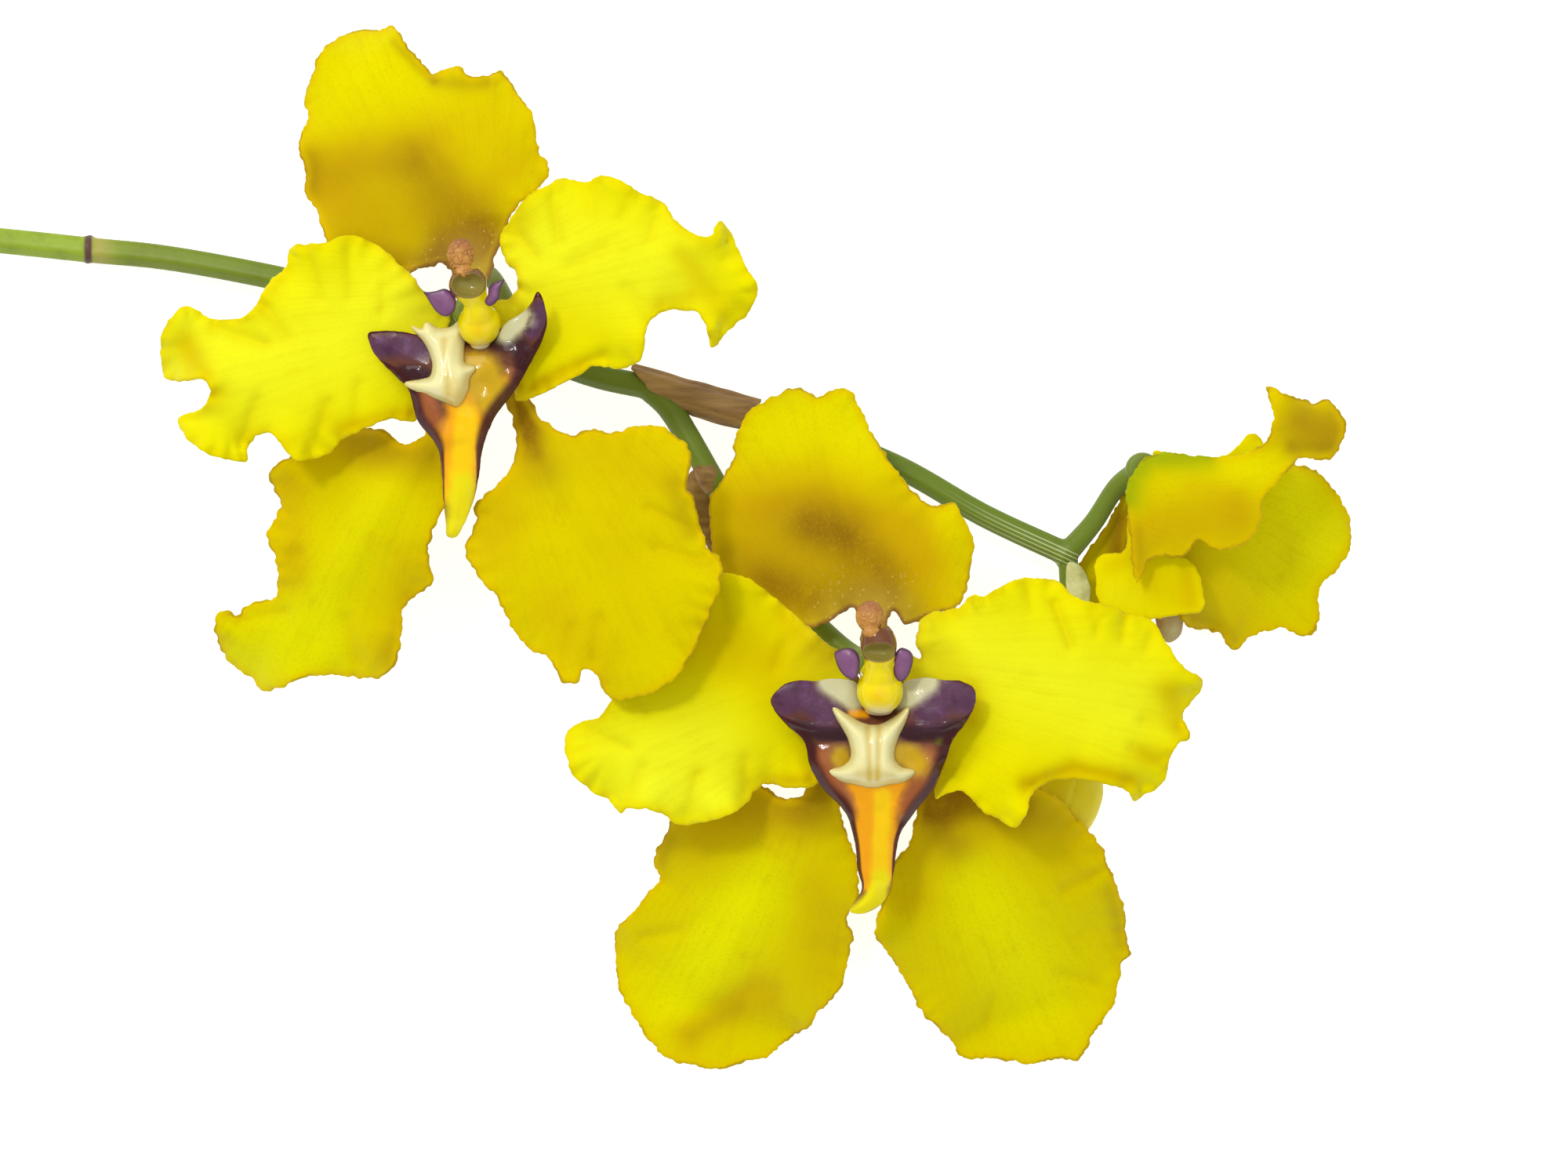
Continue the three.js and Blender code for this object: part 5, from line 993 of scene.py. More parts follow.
LIPS = {
    "bloom_1_lip": dict(belly=1.8,
        outline=[(62, 43.2, 5), (58.8, 43.2, 5), (56.5, 43, 6), (54, 43, 7), (51, 42.5, 7.5),
            (48.3, 42.5, 7.1), (47.3, 42.7, 7), (47.3, 43.4, 7), (48.3, 45.6, 6.5), (50.5, 47.8, 6.5),
            (52.4, 49.8, 6.5), (53.5, 53.6, 6), (56, 57, 5), (56.6, 60, 4), (56.8, 64, 3.5),
            (57.1, 67, 2.5), (57.2, 68.4, 2), (58.2, 68.5, 2), (59.2, 67, 2.5), (60.3, 64.5, 3),
            (61.2, 61, 4), (61.8, 57, 5), (63.4, 53.2, 6), (66, 49.8, 6.5), (67.8, 46.6, 7),
            (69.4, 43.6, 8), (70, 41.2, 9), (69.6, 39, 9.8), (68.9, 37.6, 10), (68.1, 39, 9.5),
            (66.9, 40.2, 8.7), (65.2, 41.2, 8), (63.6, 42.6, 6.5)],
        relief=[([(48.8, 44.8), (52.5, 45.4)], 1.8, -0.4), ([(67.2, 40.6), (66, 43.6)], 1.2, -0.8),
            ([(51, 47.6), (53.6, 47.6)], 0.6, 0.3), ([(66.4, 46.6), (67.4, 45)], 0.6, 0.3),
            ([(54.4, 50.6), (56.6, 56)], 1.2, 0.6), ([(65.4, 48.4), (62.6, 53)], 1.2, 0.6),
            ([(62.2, 49)], 1.6, -0.6), ([(58.8, 57), (58.4, 66)], 1.0, -0.35)],
        purple=[([(48.6, 44.4), (51.5, 44.2), (54, 44.8)], 1.7, 1.0),
            ([(69.4, 39.6), (68.2, 42.4)], 1.2, 1.0)],
        cream=[([(64.8, 42.4), (66.9, 40.8)], 1.5, 1.2)],
        dark=[([(51.8, 47.6), (54.4, 47.8)], 1.1, 1.0),
            ([(63.4, 43.8), (66.6, 44.2), (67.2, 46.4)], 1.5, 1.0)],
        red=[([(54.6, 50.8), (55.8, 53.8), (57, 57)], 1.4, 0.9),
            ([(66, 48.2), (63.6, 51.8), (62, 54.5)], 1.3, 0.9)],
        gold=[([(61.4, 47.6), (63, 50.5)], 2.6, 1.2)],
        orange=[([(59.4, 51), (59.8, 54)], 2.1, 1.2), ([(58.9, 56), (58.6, 62)], 2.5, 1.3),
            ([(65, 49)], 1.0, 0.5)],
        yellow=[([(59.8, 53), (59, 61)], 1.5, 1.2)],
        lemon=[([(59.2, 62), (58.5, 67.8)], 2.0, 1.0)],
        olive=[([(51.4, 48.6)], 0.6, 0.8)],
        narrow=[([(58.8, 59.5), (58.4, 68)], 3.2, 1.0), ([(48.6, 44.4), (53, 44.6)], 2.4, 1.0),
            ([(68.8, 39.8), (66.4, 42)], 2.4, 1.0)]),
    "bloom_2_lip": dict(belly=1.8,
        outline=[(110.4, 89.6, 6), (110, 88.4, 6.5), (108.9, 87, 7), (106.4, 86.6, 7.6), (104, 86.9, 8.5),
            (102, 86.8, 9), (100.3, 87.2, 9), (98.8, 88.4, 9), (98.4, 89.4, 8.5), (99, 90.8, 8),
            (100.4, 92.4, 7.5), (102.6, 94.5, 7), (103.3, 97.5, 6), (105, 100.5, 5), (107.8, 103.5, 4),
            (109, 107, 3), (109.5, 111, 1.5), (110, 113.6, 0.5), (108.4, 116.3, 0), (110, 116.6, 0),
            (112, 115.7, 0), (113.3, 114, 0.5), (114, 111, 1.5), (114.7, 106.6, 3), (116.5, 103.7, 4),
            (119, 100.5, 5), (120.6, 96.8, 6), (121.5, 94.2, 7), (123, 92.3, 7.5), (124.3, 89.4, 8.5),
            (124.1, 87.8, 9), (122.5, 86.9, 9), (120.5, 86.8, 9), (118, 86.5, 7.8), (115.4, 87, 7),
            (114.2, 88.4, 6.5), (113.8, 89.6, 6), (112.2, 90.2, 4.5)],
        relief=[([(100.8, 89.4), (105, 89)], 2.4, -0.35), ([(122.2, 89.2), (118, 89)], 2.4, -0.35),
            ([(100.6, 91.9), (103.2, 92.6), (106.6, 92.6)], 0.4, 0.35),
            ([(122.4, 91.7), (120.2, 92.6), (116.8, 92.6)], 0.4, 0.35),
            ([(103.6, 94.6), (107.6, 94.4)], 0.9, -0.5), ([(120, 94.6), (116, 94.4)], 0.9, -0.5),
            ([(104.9, 97.6), (108.4, 103.2)], 1.1, 0.7), ([(118.7, 97.6), (115.2, 103.2)], 1.1, 0.7),
            ([(108, 96.9)], 1.3, -0.5), ([(116, 96.5)], 1.5, -0.5),
            ([(111.9, 103.5), (111.9, 112)], 1.0, -0.35)],
        purple=[([(100.4, 89.2), (102.4, 88.4), (105.5, 90.6)], 2.1, 1.2),
            ([(122.8, 89), (121, 88.4), (118.4, 90.6)], 2.1, 1.2)],
        cream=[([(106.2, 86.8), (108.8, 88.6)], 1.7, 1.6), ([(117.8, 86.8), (115.4, 88.6)], 1.7, 1.6)],
        dark=[([(101.5, 92.6), (104.5, 93.2), (107.8, 93.4)], 1.3, 1.0),
            ([(122, 92.6), (119, 93.2), (115.6, 93.4)], 1.3, 1.0)],
        red=[([(105.2, 96.4), (106.8, 100), (109.2, 103)], 1.6, 0.9),
            ([(118.2, 96.4), (117, 99.8), (114.6, 103)], 1.6, 0.9)],
        gold=[([(107.2, 96.6), (108.2, 98)], 1.5, 1.0), ([(115.4, 96.2), (116.8, 97.2)], 1.9, 1.0)],
        orange=[([(109.6, 99.4), (111.4, 100.6), (114, 99.6)], 1.7, 1.1),
            ([(111, 102), (110.9, 112)], 2.0, 1.2), ([(112.8, 102), (112.6, 111)], 1.8, 1.0),
            ([(108.6, 90.9), (110.2, 91.1)], 0.7, 0.9)],
        yellow=[([(112.6, 101.5), (112.2, 112)], 1.2, 1.1)],
        lemon=[([(112.4, 112), (112, 114)], 1.3, 1.0), ([(111.6, 114.8), (109, 116.6)], 1.1, 1.0)],
        olive=[([(103.5, 94.6)], 0.7, 0.8), ([(119.8, 94.6)], 0.8, 0.8)],
        narrow=[([(111.9, 105.5), (112, 114), (109, 116.6)], 3.4, 1.0),
            ([(100, 89), (108.6, 88.2)], 2.4, 1.0), ([(123, 89), (115.6, 88.2)], 2.4, 1.0)]),
    "bloom_3_lip": dict(belly=0.5,
        outline=[(146.8, 62.8, 10.2), (148, 63, 10), (149.5, 65.5, 9), (152, 67.5, 7.6), (153.5, 69.5, 7),
            (152.8, 72, 6.6), (150.5, 74, 6), (150.2, 76.5, 5.2), (151.5, 79.3, 4), (151, 81.3, 3.2),
            (149.6, 82, 3), (148.3, 80, 3.6), (147.8, 76.5, 4.8), (147.4, 74, 5.6), (146.1, 72, 6.2),
            (145.9, 69.5, 7), (146.7, 66.5, 8.4)],
        red=[([(149, 76), (150.4, 82)], 3, 1.0)],
        cream=[([(150, 70), (150.4, 81)], 3.4, 0.6)],
        narrow=[([(150, 65), (150, 81)], 6, 1.0)]),
}
LIPS = {name: {**BLOOMS[name[:7]], **own} for name, own in LIPS.items()}
LIP_MESH = dict(lattice=0.24, margin_step=0.18)
# The colours that are stroked on a lip, in this order.
LIP_TINTS = {"red": "#98552c", "orange": "#ec9f0e", "yellow": "#f2c406", "lemon": "#e2d404",
             "gold": "#c29c16", "dark": "#3a1d22", "olive": "#5f5a0e", "purple": "#56324a",
             "cream": "#c6c298"}
ROLL_REACH = 0.7          # how far in from the edge the margin rolls under
WIDEST_RIM = 1.8

# Glossy, waxy lip: each colour lies where its stroke was drawn, and the rolled rim is maroon.
waxed_lip, tree, shader = new_material("glossy waxed lip skin", {"Specular IOR Level": 0.22})
mark = {key: add_node(tree, "ShaderNodeAttribute", {"attribute_name": key}, "Fac")
        for key in ("edge", "rim", "back", *LIP_TINTS)}
place = add_node(tree, "ShaderNodeTexCoord", out="Object")
cloud = add_node(tree, "ShaderNodeTexNoise", {"Vector": place, "Scale": 500.0, "Detail": 5.0,
                                              "Roughness": 0.6})
fine = add_node(tree, "ShaderNodeTexNoise", {"Vector": place, "Scale": 2200.0, "Detail": 2.0})
uneven = add_node(tree, "ShaderNodeMath", {"operation": "MULTIPLY_ADD", 0: cloud, 1: 0.5, 2: -0.25})
coats = [("#7a472a", cloud)]
for key, tint in LIP_TINTS.items():
    ragged = add_node(tree, "ShaderNodeMath", {"operation": "ADD", 0: mark[key], 1: uneven})
    coats.append((tint, overlap(tree, (ragged, 0.08, 0.9))))
# The lobes are clouded: a pale violet sheen is painted over the purple in places, dark veins between.
inward = add_node(tree, "ShaderNodeMath", {"operation": "DIVIDE", 0: mark["edge"], 1: mark["rim"]})
coats += [
    ("#7d5884", overlap(tree, (mark["purple"], 0.3, 0.8), (cloud, 0.5, 0.72), top=0.4)),
    ("#40243a", overlap(tree, (mark["purple"], 0.3, 0.8), (cloud, 0.46, 0.34), top=0.6)),
    ("#3e1216", overlap(tree, (inward, 1.0, 0.45), (mark["rim"], 0.05, 0.3), top=0.92)),
    ("#a77a3a", mark["back"])]
surface(tree, shader, coated(tree, linear("#4d2a22"), coats), fine, 0.3)
dullness = add_node(tree, "ShaderNodeMapRange", {
    "interpolation_type": "SMOOTHSTEP", "Value": mark["purple"], "From Min": 0.1, "From Max": 0.7,
    "To Min": 0.11, "To Max": 0.34})
tree.links.new(dullness, shader.inputs["Roughness"])

for i, (name, shape) in enumerate(LIPS.items()):
    places, triangles, edge, _, lift = blade_sheet(shape["outline"], 0.06, 50 + i, **LIP_MESH)
    height = dish_height(shape, places) + lift + shape.get("belly", 0) * swelling(edge, BELLY_REACH)
    height += raised(places, shape.get("relief", []))
    marks = {key: painted(places, shape.get(key, [])) for key in LIP_TINTS}
    narrow = painted(places, shape["narrow"])
    height -= (0.15 - 0.11 * narrow) * np.exp(-(edge / ROLL_REACH) ** 1.5)
    height += 0.12 * wander(places, 2.2, 60 + i) + 0.035 * wander(places, 0.8, 64 + i) * (1 - narrow)
    rim = WIDEST_RIM - 1.6 * narrow - 1.2 * marks["lemon"] - 0.8 * marks["cream"] - 1.3 * marks["purple"]
    marks.update(edge=edge, rim=np.clip(rim, 0.02, WIDEST_RIM))
    half = 0.09 + 0.3 * swelling(edge, 1.2)
    dress(closed_blade(name + "_skin", places, height, triangles, half, marks), waxed_lip)

# ---- Crests ---------------------------------------------------------------------------------
# The ivory callus on each lip's face: two horns above, a narrow waist, two teeth below and a soft
# ridge down its middle. It is waxy and lets a little light in, and it grew out of the lip.

CRESTS = {
    "bloom_1_callus": dict(
        outline=[(52.9, 41.9), (54.1, 42.3), (54.7, 41.5), (56.2, 42.2), (57.6, 42.1), (58.6, 41.4),
            (59.5, 40.6), (59.5, 42.4), (59.4, 44), (59.3, 45.4), (59.5, 46.6), (60.8, 47.1),
            (60.1, 48.3), (59.8, 50), (58.6, 51.9), (56.9, 51.3), (55, 50.6), (52, 49.1), (53.8, 48.7),
            (55.2, 48.3), (55.6, 47), (55.2, 45.2), (54.4, 43.7)],
        relief=[([(57, 44), (57.4, 50)], 0.4, -0.6), ([(58.4, 44.5), (58.3, 49)], 0.35, -0.4)],
        warm=[([(57, 43.6), (57.4, 50.5)], 0.5, 0.6), ([(58.6, 49), (58.2, 51.4)], 1.0, 0.6)]),
    "bloom_2_callus": dict(
        outline=[(106.3, 90.3), (107.9, 91.1), (109.6, 92.1), (111, 92.5), (112.4, 92.4), (114, 91.5),
            (115.8, 90.3), (115.4, 91.9), (114.6, 93.6), (114, 95.4), (114, 96.8), (114.8, 97.8),
            (116.6, 98.4), (115.4, 99.5), (113.4, 99.9), (111.2, 100.3), (109, 99.9), (107, 99.4),
            (105.5, 98.3), (107.4, 97.8), (108.5, 96.8), (108.6, 95.4), (107.9, 93.4), (106.9, 91.8)],
        relief=[([(110.7, 93), (110.9, 99)], 0.35, -0.7), ([(112.1, 93), (111.9, 99)], 0.35, -0.7)],
        warm=[([(110.7, 92.8), (110.9, 99.4)], 0.4, 0.7), ([(112.1, 92.8), (111.9, 99.4)], 0.4, 0.7),
            ([(109.6, 98.6), (113.6, 98.8)], 0.8, 0.4)]),
    "bloom_3_callus": dict(
        outline=[(148.8, 66.4), (150.8, 67.2), (150.9, 69.2), (152, 70.6), (150.3, 71.2), (149.5, 73),
            (148.6, 71.2), (147, 70.6), (148, 69), (147.7, 67.2)]),
}
CREST_MESH = dict(lattice=0.17, margin_step=0.15)
CREST_FOOT, CREST_TOP = 0.32, 0.77      # heights over the lip's middle surface, at the crest's edge
CREST_RISE = 2.1


def tissue(name, tints, coats, pattern, bump, finish, distance_mm=0.1):
    """Waxy or dry tissue, clouded between two tints. Each mark brings a further tint over them."""
    material, tree, shader = new_material(name, finish)
    place = add_node(tree, "ShaderNodeTexCoord", out="Object")
    cloud = add_node(tree, "ShaderNodeTexNoise", {"Vector": place, "Scale": pattern[0],
                                                  "Detail": pattern[1]})
    marked = [(tint, add_node(tree, "ShaderNodeAttribute", {"attribute_name": mark}, "Fac"))
              for mark, tint in coats.items()]
    colour = coated(tree, linear(tints[0]), [(tints[1], cloud), *marked])
    surface(tree, shader, colour, cloud, bump, distance_mm)
    return material


# Waxy ivory tissue: pale, glossy and slightly translucent, with a warmer tan painted as shade at its edges
# and grooves.
ivory_wax = tissue("waxy ivory tissue", ("#eae6b2", "#e1d890"), {"warm": "#cdb252"}, pattern=(350, 4),
                   bump=0.15, finish={"Roughness": 0.18, "Subsurface Weight": 0.15,
                                      "Subsurface Scale": 0.001})

for i, (name, shape) in enumerate(CRESTS.items()):
    lip = LIPS[name.replace("callus", "lip")]
    lip_margin, _ = margin_line(lip["outline"], 0.25)
    places, triangles, edge, _, _ = blade_sheet(shape["outline"], 0.03, 70 + i, **CREST_MESH)
    to_lip_edge, _ = nearest_margin(places, lip_margin)
    face = (dish_height(lip, places) + carried_in(places, lip_margin[::4])
            + lip.get("belly", 0) * swelling(to_lip_edge, BELLY_REACH))
    rise = CREST_RISE * swelling(edge, 0.75) + raised(places, shape.get("relief", []))
    rise = evened(rise, triangles, freedom=np.clip(edge / 0.5, 0, 1) * 0.7, rounds=12)
    middle = face + lip["side"] * (CREST_TOP + rise + CREST_FOOT) / 2
    half = np.abs(CREST_TOP + rise - CREST_FOOT) / 2
    # The warm mark is painted shade along the crest's edge, where it turns down, and in its grooves, whose
    # tissue is also browner.
    warm = 0.45 * np.exp(-edge / 0.3) + painted(places, shape.get("warm", []))
    dress(closed_blade(name + "_skin", places, middle, triangles, half, {"warm": np.clip(warm, 0, 1)},
                       upright=True), ivory_wax)

# ---- Columns --------------------------------------------------------------------------------
# The column in each bloom's middle: a fleshy yellow bulb below, a brown-purple hood above with the
# wet hollow of the stigma in its face. It is one body with the flower's stalk behind it.

# Bulb, hollow and foot: place and radii. Neck: sections [right, down, height, radius].
COLUMNS = {
    "bloom_1_column": dict(
        bulb=((61.4, 41.6, 34.1), (2.75, 2.8, 3.0)),
        neck=[(60.6, 40.6, 29.6, 1.8), (61.2, 41.6, 32.5, 2.3), (61.3, 40.9, 35, 2.2),
              (61.2, 39.6, 36.5, 1.8), (61, 38.7, 37.2, 1.6), (60.5, 37.5, 37.9, 2.1),
              (60.1, 36.6, 38.4, 2.5), (59.9, 35.8, 38.7, 2.3), (59.7, 35, 38.8, 1.7)],
        hollow=((60.2, 36.8, 40.9), (2.35, 1.6, 2.4)), collar=[(59.9, 38.8, 37.7), (62.3, 38.5, 37.9)],
        foot=((61.5, 44, 33.4), (1.35, 0.9, 1.3)), cream=[([(61, 44.8), (62.2, 44.7)], 0.7, 1.0)],
        spots=[([(60.8, 45.1), (62.2, 45)], 0.35, 0.8)], warm=[([(61.4, 42.4)], 1.3, 0.35)]),
    "bloom_2_column": dict(
        bulb=((112.2, 88.1, 28.4), (3.0, 3.0, 3.2)),
        neck=[(111.5, 85.7, 22.8, 1.8), (112, 87, 25.5, 2.4), (112.2, 87, 28.8, 2.4),
              (112.2, 85.6, 30.2, 2.1), (112.1, 84.6, 31, 1.8), (112.1, 83.4, 31.7, 2.1),
              (112, 82.2, 32.2, 2.35), (111.8, 81, 32.6, 2.1), (111.6, 80.2, 32.7, 1.7)],
        hollow=((112.1, 83.2, 34.4), (2.5, 1.2, 2.2)), collar=[(110.6, 84.7, 31.2), (113.8, 84.6, 31.2)],
        foot=((112.1, 90.4, 27.6), (1.9, 0.9, 1.4)), cream=[([(110.9, 91), (113.3, 91)], 0.8, 1.0)],
        spots=[([(110.9, 91.4), (113.3, 91.4)], 0.35, 0.8)], warm=[([(112, 88.8)], 1.3, 0.4)]),
    "bloom_3_column": dict(
        bulb=((148.3, 60.5, 8.3), (2.2, 2.1, 2.1)),
        neck=[(147.4, 59.2, 12, 1.5), (147.5, 59.7, 10.4, 1.7), (148.3, 60.6, 8, 1.9),
              (149.7, 61.2, 5.9, 1.9), (151, 61.6, 4.6, 1.6)],
        hollow=((149.4, 61.1, 3.3), (1.5, 1.2, 1.7))),
}
COLLAR_RADII = (0.45, 0.5, 0.7)
COLUMN_VOXEL = 0.15
HOOD_START = -1.1         # of the brown hood, ahead of the hollow's middle
WET_RIM = 1.25            # how far out of the hollow its wet colour reaches, as a share


def ellipsoid(name, place, radii, segments=40):
    """A smooth ball with three radii, at a place on the sheet."""
    piece = new_piece(name, [], [])
    ball = bmesh.new()
    bmesh.ops.create_uvsphere(ball, u_segments=segments, v_segments=segments // 2, radius=1)
    ball.to_mesh(piece.data)
    ball.free()
    move_corners(piece, on_sheet([place]) + corners_of(piece) * MM * radii)
    return piece


# Waxy column tissue: yellow bulb, cream foot with purple spots, brown hood, wet olive hollow.
waxy_column = tissue(
    "waxy column tissue", ("#f2e108", "#e6cd06"),
    {"warm": "#e09a08", "cream": "#e0d0a8", "spots": "#5e3354", "hood": "#70442a", "lining": "#7d4c38",
     "hollow": "#8d8038"}, pattern=(700, 4), bump=0.2, finish={"Roughness": 0.1, "Specular IOR Level": 0.3})

for name, shape in COLUMNS.items():
    parts = [make_stalk(name + "_neck", shape["neck"], waxy_column), ellipsoid("bulb", *shape["bulb"])]
    parts += [ellipsoid("collar", place, COLLAR_RADII, 16) for place in shape.get("collar", [])]
    if "foot" in shape:
        parts.append(ellipsoid("foot", *shape["foot"], 24))
    column = fuse(parts, name + "_skin", COLUMN_VOXEL, smoothing=12)
    points = corners_of(column)
    place, radii = shape["hollow"]
    middle = on_sheet([place])[0]
    share = ((points - middle) / radii) ** 2
    inside = share.sum(axis=1)                # under 1 within the hollow
    depth = radii[2] * np.sqrt(np.clip(1 - share[:, :2].sum(axis=1), 0, 1))
    floor = middle[2] - BLOOMS[name[:7]]["side"] * depth
    points[inside < 1, 2] = floor[inside < 1]
    move_corners(column, points)
    face = points[:, :2]
    ahead = on_sheet([shape["neck"][-1][:2]])[0] - middle[:2]
    along = (face - middle[:2]) @ (ahead / np.linalg.norm(ahead))
    mark_corners(column, {
        **{key: painted(face, shape.get(key, [])) for key in ("warm", "cream", "spots")},
        "hood": np.clip((along - HOOD_START + wander(points, 1.2, 80) * 0.5) / 0.5, 0, 1),
        "lining": np.exp(-((inside - 1.1) / 0.22) ** 2),
        "hollow": np.clip((WET_RIM - inside) / 0.35, 0, 1)})
    dress(column, waxy_column)

# ---- Wings ----------------------------------------------------------------------------------
# Two small purple ears beside each stigma, thin and softly pointed. They grew from the column.
# Their margin is darker and browner than the rest.

WINGS = {
    "bloom_1_left_wing": [
        (54.5, 37.6, 38), (54.9, 37.7, 38.1), (55.9, 37.6, 38.4), (57.2, 37.3, 38.5), (58.1, 37.9, 38.4),
        (58.5, 38.9, 38.2), (58.1, 40.2, 38), (57.2, 40.6, 37.7), (56.2, 40.1, 37.6), (55.4, 39, 37.7),
        (54.8, 38, 37.9)],
    "bloom_1_right_wing": [
        (64.6, 36.1, 39.6), (64.1, 36.3, 39.4), (63.3, 36.6, 39), (62.8, 37.2, 38.8), (62.7, 38, 38.8),
        (62.3, 38.8, 38.7), (62.7, 39.3, 38.7), (63.3, 39.1, 38.8), (63.9, 38.4, 39.1),
        (64.1, 37.4, 39.4), (64.4, 36.6, 39.5)],
    "bloom_2_left_wing": [
        (106.5, 83.2, 31), (107, 82.9, 31.4), (107.8, 82.7, 31.7), (108.7, 82.8, 31.8),
        (109.4, 83.6, 31.8), (109.5, 85, 31.5), (109, 86.5, 31.1), (108, 86.3, 30.9), (107.2, 85.5, 30.8),
        (106.7, 84.4, 30.8)],
    "bloom_2_right_wing": [
        (116.2, 83.4, 31.5), (115.7, 82.9, 31.7), (114.8, 82.7, 31.9), (114.2, 83.4, 31.8),
        (113.9, 84.8, 31.4), (114.1, 86, 31), (114.7, 86.8, 30.9), (115.4, 86.5, 30.8), (116, 85.4, 31),
        (116.3, 84.2, 31.3)],
    "bloom_3_left_wing": [
        (150.3, 59.1, 6.9), (151.4, 59.5, 5.7), (152.6, 59.6, 4.5), (153, 58.9, 4.2), (152, 58.4, 4.9),
        (150.6, 58.3, 6.3)],
    "bloom_3_right_wing": [
        (147.4, 63.1, 8), (148.8, 63.4, 7.1), (149.9, 64.2, 6), (148.6, 65.1, 6.2), (147.4, 64.5, 7.2)],
}
WING_MESH = dict(lattice=0.16, margin_step=0.14)
RIM_START, RIM_END, RIM_SHARE = 0.4, 0.05, 0.9

# Thin purple tissue: satin, darker and browner along its margin.
wing_skin = tissue("purple wing tissue", ("#6e3f66", "#875680"), {"rim": "#43203a"}, pattern=(900, 3),
                   bump=0.3, finish={"Roughness": 0.38})

for i, (name, outline) in enumerate(WINGS.items()):
    places, triangles, edge, _, lift = blade_sheet(outline, 0.02, 90 + i, **WING_MESH)
    height = lift + 0.45 * swelling(edge, 0.6) + 0.1 * wander(places, 1, 96 + i)
    rim = RIM_SHARE * np.clip((RIM_START - edge) / (RIM_START - RIM_END), 0, 1)
    dress(closed_blade(name + "_skin", places, height, triangles, 0.13 + 0.17 * swelling(edge, 0.5),
                       {"rim": rim}), wing_skin)

# ---- Anther caps ----------------------------------------------------------------------------
# The small cap over the pollen at each column's tip, drying to a crinkled tan. It sits loosely on
# the hood's end.

CAPS = {
    "bloom_1_anther_cap": dict(at=(59.2, 32.9, 39.2), size=(1.75, 2.1, 1.5), crinkle=0.2,
                               foot=(59.6, 35.0, 39.9)),
    "bloom_2_anther_cap": dict(at=(110.9, 78.6, 33.1), size=(1.85, 2.0, 1.6), crinkle=0.1,
                               foot=(111.1, 80.6, 34.1)),
    "bloom_3_anther_cap": dict(at=(153.4, 61.9, 3.2), size=(1.9, 1.6, 1.5), crinkle=0.2),
}
CAP_FOOT_RADII = (1.15, 0.8, 0.55)
CAP_VOXEL = 0.11
CRINKLE_SIZE, FINE_CRINKLE_SIZE = 0.85, 0.4

# Drying tissue: tan with a redder crown, matt, wrinkled.
cap_tissue = tissue("drying anther tissue", ("#a1682c", "#cf9438"), {"fold": "#6e4020", "crown": "#8f5230"},
                    pattern=(900, 4), bump=0.5, finish={"Roughness": 0.48}, distance_mm=0.15)

for i, (name, shape) in enumerate(CAPS.items()):
    parts = [ellipsoid(name, shape["at"], shape["size"], 48)]
    if "foot" in shape:
        parts.append(ellipsoid("foot", shape["foot"], CAP_FOOT_RADII, 24))
    cap = fuse(parts, name + "_skin", CAP_VOXEL, smoothing=3)
    points = corners_of(cap)
    ridges = np.array([abs(noise.noise(Vector(p) / CRINKLE_SIZE + Vector((i * 7, 0, 0)))
                           + 0.5 * noise.noise(Vector(p) / FINE_CRINKLE_SIZE)) for p in points])
    arm = points - on_sheet([shape["at"]])[0]
    pinch = shape["crinkle"] * (1 - np.clip(ridges * 4, 0, 1)) / np.linalg.norm(arm, axis=1)
    move_corners(cap, points - arm * pinch[:, None])
    mark_corners(cap, {"fold": np.clip(1 - ridges * 5, 0, 1) * min(shape["crinkle"] * 2, 0.6),
                       "crown": np.clip(arm[:, 1] / 2.2 + 0.1, 0, 1) * 0.8})
    dress(cap, cap_tissue)

# ---- Bracts ---------------------------------------------------------------------------------
# Dry leaves at the nodes: a brown papery sheath round the rachis past the side branch, a curled
# brown scrap on the branch, and a pale fresher one at the last node. Each grew from its node.

SHEATH_LINE = [(83, 49.1, 10.8), (88, 50.5, 10.8), (92, 51.6, 10.7), (96.4, 52.8, 10.5)]
SHEATH_RADIUS, SHEATH_WALL, SHEATH_STEP, SHEATH_TURNS = 2.05, 0.35, 0.25, 72
SHEATH_LEAD, LEAD_TURN = 3.2, 150     # how far the near end runs ahead over the node, and where
# The gap that the side branch leaves by, in degrees round the rachis from its branch side up: from
# below to well above the branch at the near end, closing to a slit under the far end.
GAP_START, GAP_END, GAP_END_FAR = 280, 440, 320
GAP_CLOSED = 0.7                      # the share of the sheath's length where the slit begins
# The scrap's foot still clasps the branch: sections [right, down, height, radius] of that collar.
CLASP = [(89.5, 59, 12.5, 1.42), (90.1, 60.2, 12.6, 1.6), (90.8, 61.6, 12.65, 1.55),
         (91.2, 62.4, 12.65, 1.4)]
SCRAPS = {
    "bract_branch": [
        (88, 60.2, 11.4), (90.2, 59.4, 11.6), (91.4, 62, 11.2), (91.3, 66, 10), (90.8, 70.4, 9.2),
        (89.2, 67.8, 9.6), (88, 65, 10.2), (87.5, 62.5, 10.9)],
    "bract_node": [
        (136.7, 71.8, 10.6), (137.8, 72, 10.6), (138.8, 73.2, 10.4), (139.4, 75.2, 10.2),
        (139, 77.2, 10.1), (138, 77.5, 10.2), (136.9, 76.2, 10.3), (136.4, 74, 10.4)],
}
SCRAP_MESH = dict(lattice=0.2, margin_step=0.18)
CLASP_VOXEL = 0.1


